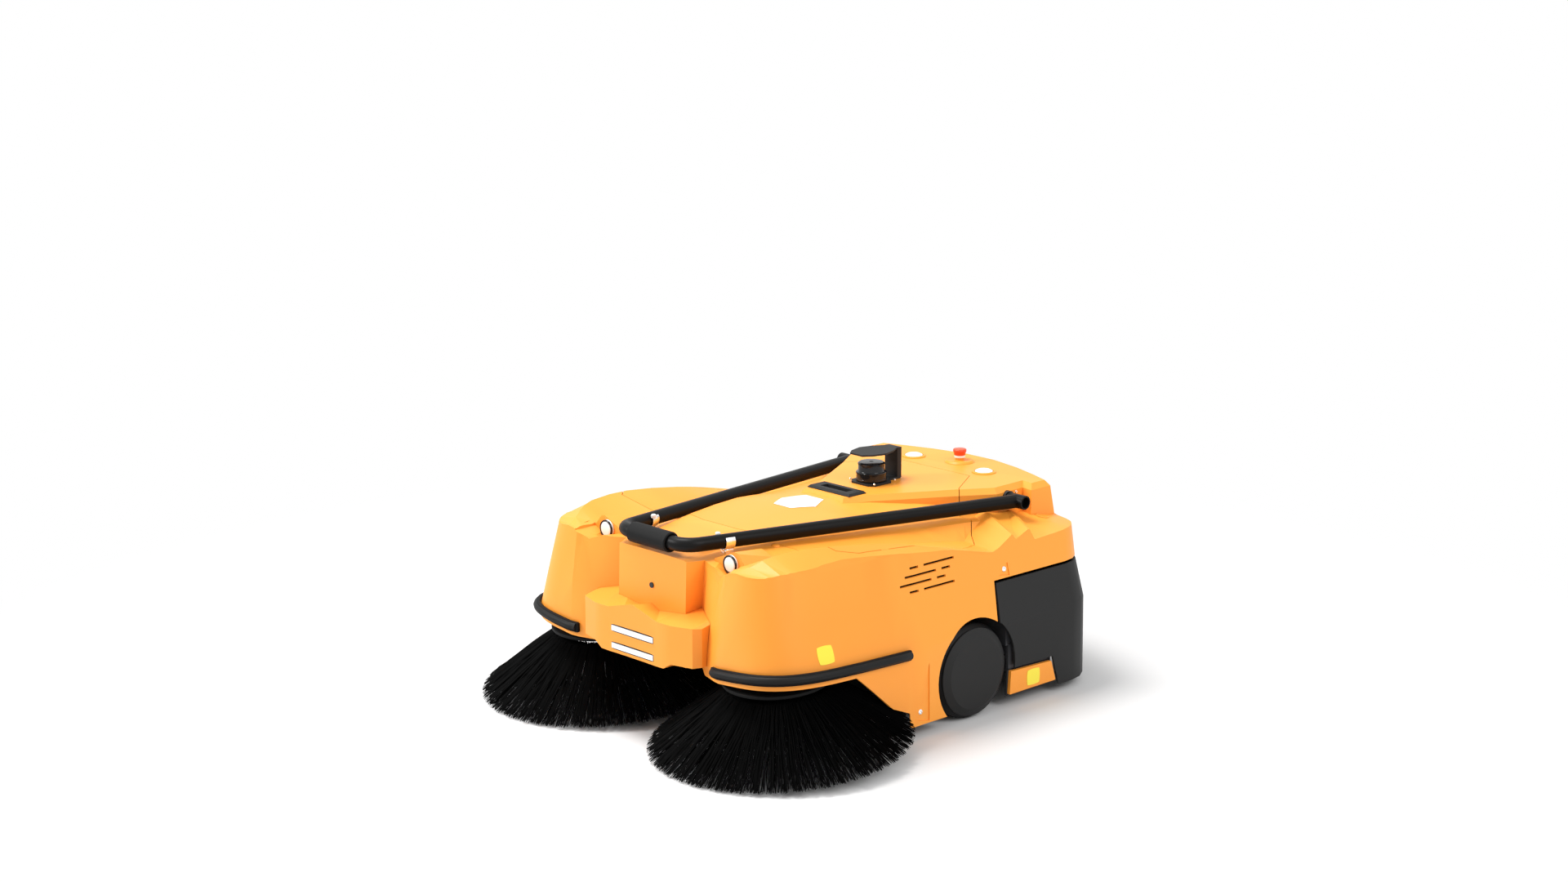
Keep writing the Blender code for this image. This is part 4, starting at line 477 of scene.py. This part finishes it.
sticker = {"width": 0.038, "height": 0.033, "flank": (-0.279, 0.217), "plate": (0.291, 0.0515),
           "corner": 0.10, "outside": 0.45}
for word, side in sides:
    turn = Matrix.Rotation(math.radians(90), 4, "Z") @ Matrix.Rotation(math.radians(90), 4, "X")
    for spot, target in (("flank", "main_cowl"), ("plate", "lift_plate_" + word)):
        y, z = sticker[spot]
        mark = platePiece("blankSticker_%s_%s" % (spot, word), sticker["width"], sticker["height"],
                          sticker["corner"])
        settled(mark, (side * sticker["outside"], y + shift, z), turn)
        wrapped(mark, nodes[target], "X")
        finished(mark, finish["yellow"], "body")
lidLabel = {"width": 0.096, "height": 0.090, "narrowing": 0.48, "place": (0, 0.004 + shift, 0.44)}
label = platePiece("lidLabel", lidLabel["width"], lidLabel["height"], 0.0, 24)
for vertex in label.data.vertices:
    # Six-sided outline: the rows narrow towards the front and the rear
    vertex.co.x *= 1 - lidLabel["narrowing"] * abs(vertex.co.y) / (lidLabel["height"] / 2)
settled(label, lidLabel["place"])
wrapped(label, nodes["top_lid"], "Z", 0.0006)
finished(label, finish["paleLabel"], "body")
print("stickers done")

# Painted shadow: black rings round the two charging contacts stand in for the shade in the gaps round them
contact = {"halfWidth": 0.0602, "halfHeight": 0.0052, "rim": 0.0022, "y": -0.4604, "depth": 0.003,
           "heights": (0.1736, 0.2084)}
for number, height in enumerate(contact["heights"]):
    bpy.ops.mesh.primitive_plane_add(size=2, rotation=(math.pi / 2, 0, 0))
    shadowRing = named("contactShadowRing_%d" % number)
    settled(shadowRing)
    shadowRing.data.transform(Matrix.Diagonal((contact["halfWidth"] + contact["rim"], 1,
                                              contact["halfHeight"] + contact["rim"], 1)))
    onFaces(shadowRing, lambda centre, normal: True, lambda: bpy.ops.mesh.inset(thickness=contact["rim"]))
    onFaces(shadowRing, lambda centre, normal: centre.length < 1e-4, lambda: bpy.ops.mesh.delete(type="FACE"))
    settled(shadowRing, (0, contact["y"], height))
    applied(shadowRing, "SOLIDIFY", thickness=contact["depth"], offset=-1.0)
    applied(shadowRing, "BEVEL", width=0.0003, segments=2)
    # Black gloss paints the shadow in the gap round each contact
    finished(shadowRing, finish["blackGloss"], "body")
print("contacts done")

# Lidar: stepped gloss dome with a window band and a flat cap
lidar = {"place": (0.0, 0.181, 0.0), "wide": 0.0315, "narrow": 0.0270, "base": 0.4014, "middle": 0.4195,
         "top": 0.4392, "screwX": 0.0345, "screwRows": (0.155, 0.214)}
w, m, low, mid, high = (lidar[key] for key in ("wide", "narrow", "base", "middle", "top"))
head = turnedPiece("lidarHead",
                   [(w * 0.97, low), (w, low + 0.0015), (w, low + 0.0040), (w * 0.975, low + 0.0046),
                    (w * 0.975, mid - 0.0040), (w, mid - 0.0034), (w, mid - 0.0010), (w * 0.97, mid),
                    (m * 1.02, mid + 0.0006), (m, mid + 0.0016), (m * 0.985, high - 0.0052),
                    (m * 1.02, high - 0.0046), (m * 1.02, high - 0.0022), (m * 0.92, high - 0.0002),
                    (m * 0.86, high), (m * 0.16, high), (m * 0.14, high - 0.0008)],
                   lidar["place"], steps=64)
finished(head, finish["blackGloss"], "body", 28)
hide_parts("lidar_body")
for word, side in sides:
    for number, y in enumerate(lidar["screwRows"]):
        bolt = turnedPiece("guardScrew_%s_%d" % (word, number),
                           [(0.0024, 0.4005), (0.0024, 0.4026), (0.0018, 0.4032), (0.0010, 0.4032),
                            (0.0009, 0.4024)], (side * lidar["screwX"], y, 0), steps=18)
        finished(bolt, finish["chrome"], "body", 30)
print("lidar done")

# Stop button: red head on a pale collar
stop = {"x": 0.0, "y": 0.4445, "low": 0.4062, "collar": 0.4100, "top": 0.4235, "radius": 0.0140}
r = stop["radius"]
collar = turnedPiece("stopCollar", [(r * 0.80, stop["low"] - 0.001), (r * 0.84, stop["low"]),
                                    (r * 0.80, stop["collar"])], (stop["x"], stop["y"], 0))
finished(collar, finish["white"], "body", 40)
button = turnedPiece("stopHead", [(r * 0.80, stop["collar"]), (r * 0.86, stop["collar"] + 0.0006),
                                  (r * 0.88, stop["collar"] + 0.0050), (r * 0.96, stop["collar"] + 0.0066),
                                  (r, stop["collar"] + 0.0080), (r, stop["top"] - 0.0016),
                                  (r * 0.93, stop["top"] - 0.0004), (r * 0.80, stop["top"]),
                                  (r * 0.1, stop["top"] + 0.0003)],
                     (stop["x"], stop["y"], 0))
finished(button, finish["red"], "body", 50)
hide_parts("estop_button")
print("button done")

# Rubber bead along each bumper strip, found by level lines that meet the strip: first round the front, then
# straight along the flank
bead = {"radius": 0.0086, "sink": 0.0030, "start": -98, "end": 0, "steps": 26, "flankSteps": 10, "levels": 60,
        "rearGap": 0.003, "facing": -0.3, "roundness": 4, "centre": (0.215, -0.300 + shift)}


def stripMiddle(strip, low, high, base, aim):
    # Middle height of the strip's outer face where the lines along aim meet it
    hits = []
    for level in range(bead["levels"]):
        height = low[2] + (high[2] - low[2]) * (level + 0.5) / bead["levels"]
        found, place, normal, index = strip.ray_cast(base + Vector((0, 0, height)), aim)
        if found and normal.dot(aim) < bead["facing"]:
            hits.append(place)
    return sum(hits, Vector()) / len(hits) if hits else None


for word, side in sides:
    strip = nodes["bumper_strip_" + word]
    low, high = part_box("bumper_strip_" + word)
    x, y = bead["centre"]
    lines = []
    for k in range(bead["steps"]):
        angle = math.radians(bead["start"] + (bead["end"] - bead["start"]) * k / bead["steps"])
        aim = Vector((-side * math.cos(angle), -math.sin(angle), 0))
        lines.append((Vector((side * x, y, 0)) - aim, aim))
    for k in range(bead["flankSteps"]):
        share = k / (bead["flankSteps"] - 1)
        lines.append((Vector((side, y + (high[1] - bead["rearGap"] - y) * share, 0)), Vector((-side, 0, 0))))
    points = []
    for base, aim in lines:
        middle = stripMiddle(strip, low, high, base, aim)
        if middle is not None:
            points.append(middle + aim * bead["sink"])
    bpy.ops.curve.primitive_bezier_curve_add()
    cord = named("stripBead_" + word)
    cord.data.splines.clear()
    spline = cord.data.splines.new("POLY")
    spline.points.add(len(points) - 1)
    for point, place in zip(spline.points, points):
        point.co = (*place, 1)
    cord.location = (0, 0, 0)
    cord.data.bevel_depth = bead["radius"]
    cord.data.bevel_resolution = bead["roundness"]
    cord.data.use_fill_caps = True
    pick(cord)
    bpy.ops.object.convert(target="MESH")
    finished(bpy.context.object, finish["rubber"], "body", 50)
print("beads done")

# Dark seats behind the lift plates, seen as a rim round them
seatForm = {"inward": 0.0045, "down": 0.001, "scale": (0.5, 1.045, 1.10, 1), "round": 0.002}
for word, side in sides:
    seat = copyOf(nodes["lift_plate_" + word], "liftSeat_" + word)
    seat.modifiers.clear()
    low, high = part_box("lift_plate_" + word)
    middle = (Vector(low) + Vector(high)) / 2
    moved = middle + Vector((-side * seatForm["inward"], 0, -seatForm["down"]))
    seat.data.transform(Matrix.Translation(moved) @ Matrix.Diagonal(seatForm["scale"])
                        @ Matrix.Translation(-middle))
    applied(seat, "WELD", merge_threshold=edges["merge"])
    applied(seat, "BEVEL", width=seatForm["round"], segments=edges["segments"], limit_method="ANGLE")
    finished(seat, finish["darkPanel"], "body")
print("seats done")

# Dark screens behind the cooling slots
vent = {"halfLength": 0.088, "halfHeight": 0.033, "place": (0.3245, 0.0165 + shift, 0.305), "lean": 12,
        "sheet": 0.001}
for word, side in sides:
    bpy.ops.mesh.primitive_grid_add(x_subdivisions=30, y_subdivisions=14, size=2)
    screen = named("ventScreen_" + word)
    settled(screen)
    screen.data.transform(Matrix.Diagonal((vent["halfLength"], vent["halfHeight"], 1, 1)))
    x, y, z = vent["place"]
    settled(screen, (side * x, y, z), Matrix.Rotation(math.radians(vent["lean"] * side), 4, "Y")
            @ Matrix.Rotation(math.radians(90), 4, "Z") @ Matrix.Rotation(math.radians(90), 4, "X"))
    applied(screen, "SOLIDIFY", thickness=vent["sheet"])
    finished(screen, finish["darkPanel"], "body")
print("screens done")

# Floor, backdrop and light: near the machine the floor keeps its shadow, further out it is plain white
studio = {"floor": 0.74, "fade": (0.95, 1.9), "world": 0.62, "aimHeight": 0.2}


def seenRays(tree):
    # 1 for rays from the camera and through reflections or glass, 0 for the light on the object
    path = tree.nodes.new("ShaderNodeLightPath")
    ray = path.outputs["Is Camera Ray"]
    for other in ("Is Glossy Ray", "Is Transmission Ray"):
        either = tree.nodes.new("ShaderNodeMath")
        either.operation = "MAXIMUM"
        tree.links.new(ray, either.inputs[0])
        tree.links.new(path.outputs[other], either.inputs[1])
        ray = either.outputs[0]
    return ray


def blended(tree, factor, first, second, target):
    # Mix two shaders by a factor into the tree's output
    blend = tree.nodes.new("ShaderNodeMixShader")
    tree.links.new(factor, blend.inputs["Fac"])
    tree.links.new(first.outputs[0], blend.inputs[1])
    tree.links.new(second.outputs[0], blend.inputs[2])
    tree.links.new(blend.outputs[0], tree.nodes[target].inputs["Surface"])


bpy.ops.mesh.primitive_plane_add(size=60)
floor = named("floor")
floorMaterial = bpy.data.materials.new("floor")
floorMaterial.use_nodes = True
floorTree = floorMaterial.node_tree
floorShader = floorTree.nodes["Principled BSDF"]
floorShader.inputs["Base Color"].default_value = (*[studio["floor"]] * 3, 1)
floorShader.inputs["Roughness"].default_value = 0.85
floorShader.inputs["Specular IOR Level"].default_value = 0.1
white = floorTree.nodes.new("ShaderNodeEmission")
white.inputs["Color"].default_value = (1, 1, 1, 1)
white.inputs["Strength"].default_value = 1
spot = floorTree.nodes.new("ShaderNodeTexCoord")
reach = floorTree.nodes.new("ShaderNodeVectorMath")
reach.operation = "LENGTH"
fade = floorTree.nodes.new("ShaderNodeMapRange")
fade.interpolation_type = "SMOOTHSTEP"
fade.inputs["From Min"].default_value, fade.inputs["From Max"].default_value = studio["fade"]
share = floorTree.nodes.new("ShaderNodeMath")
share.operation = "MULTIPLY"
floorTree.links.new(spot.outputs["Object"], reach.inputs[0])
floorTree.links.new(reach.outputs["Value"], fade.inputs["Value"])
floorTree.links.new(fade.outputs["Result"], share.inputs[0])
floorTree.links.new(seenRays(floorTree), share.inputs[1])
blended(floorTree, share.outputs[0], floorShader, white, "Material Output")
floor.data.materials.append(floorMaterial)

world = bpy.data.worlds.new("studio")
world.use_nodes = True
worldTree = world.node_tree
background = worldTree.nodes["Background"]
background.inputs["Color"].default_value = (1, 1, 1, 1)
background.inputs["Strength"].default_value = studio["world"]
backdrop = worldTree.nodes.new("ShaderNodeBackground")
backdrop.inputs["Color"].default_value = (1, 1, 1, 1)
backdrop.inputs["Strength"].default_value = 1
blended(worldTree, seenRays(worldTree), background, backdrop, "World Output")
bpy.context.scene.world = world

lights = {
    "left": {"place": (-2.6, -3.4, 2.6), "size": 1.4, "power": 125},
    "right": {"place": (4.2, 0.4, 3.4), "size": 2.4, "power": 100},
    "top": {"place": (-1.2, -0.6, 4.2), "size": 1.6, "power": 155},
}
for name, values in lights.items():
    bpy.ops.object.light_add(type="AREA", location=values["place"])
    light = named(name)
    light.data.size = values["size"]
    light.data.energy = values["power"]
    aim = Vector((0, 0, studio["aimHeight"])) - Vector(values["place"])
    light.rotation_euler = aim.to_track_quat("-Z", "Y").to_euler()

view = {"place": (3.860, -3.698 + shift, 1.752), "aim": (-0.70680, 0.67053, -0.22545), "lens": 63.75}
bpy.ops.object.camera_add(location=view["place"])
camera = bpy.context.object
camera.data.lens = view["lens"]
camera.data.sensor_width = 36
camera.rotation_euler = Vector(view["aim"]).to_track_quat("-Z", "Y").to_euler()
bpy.context.scene.camera = camera
bpy.context.scene.view_settings.view_transform = "Standard"
print("stage done")
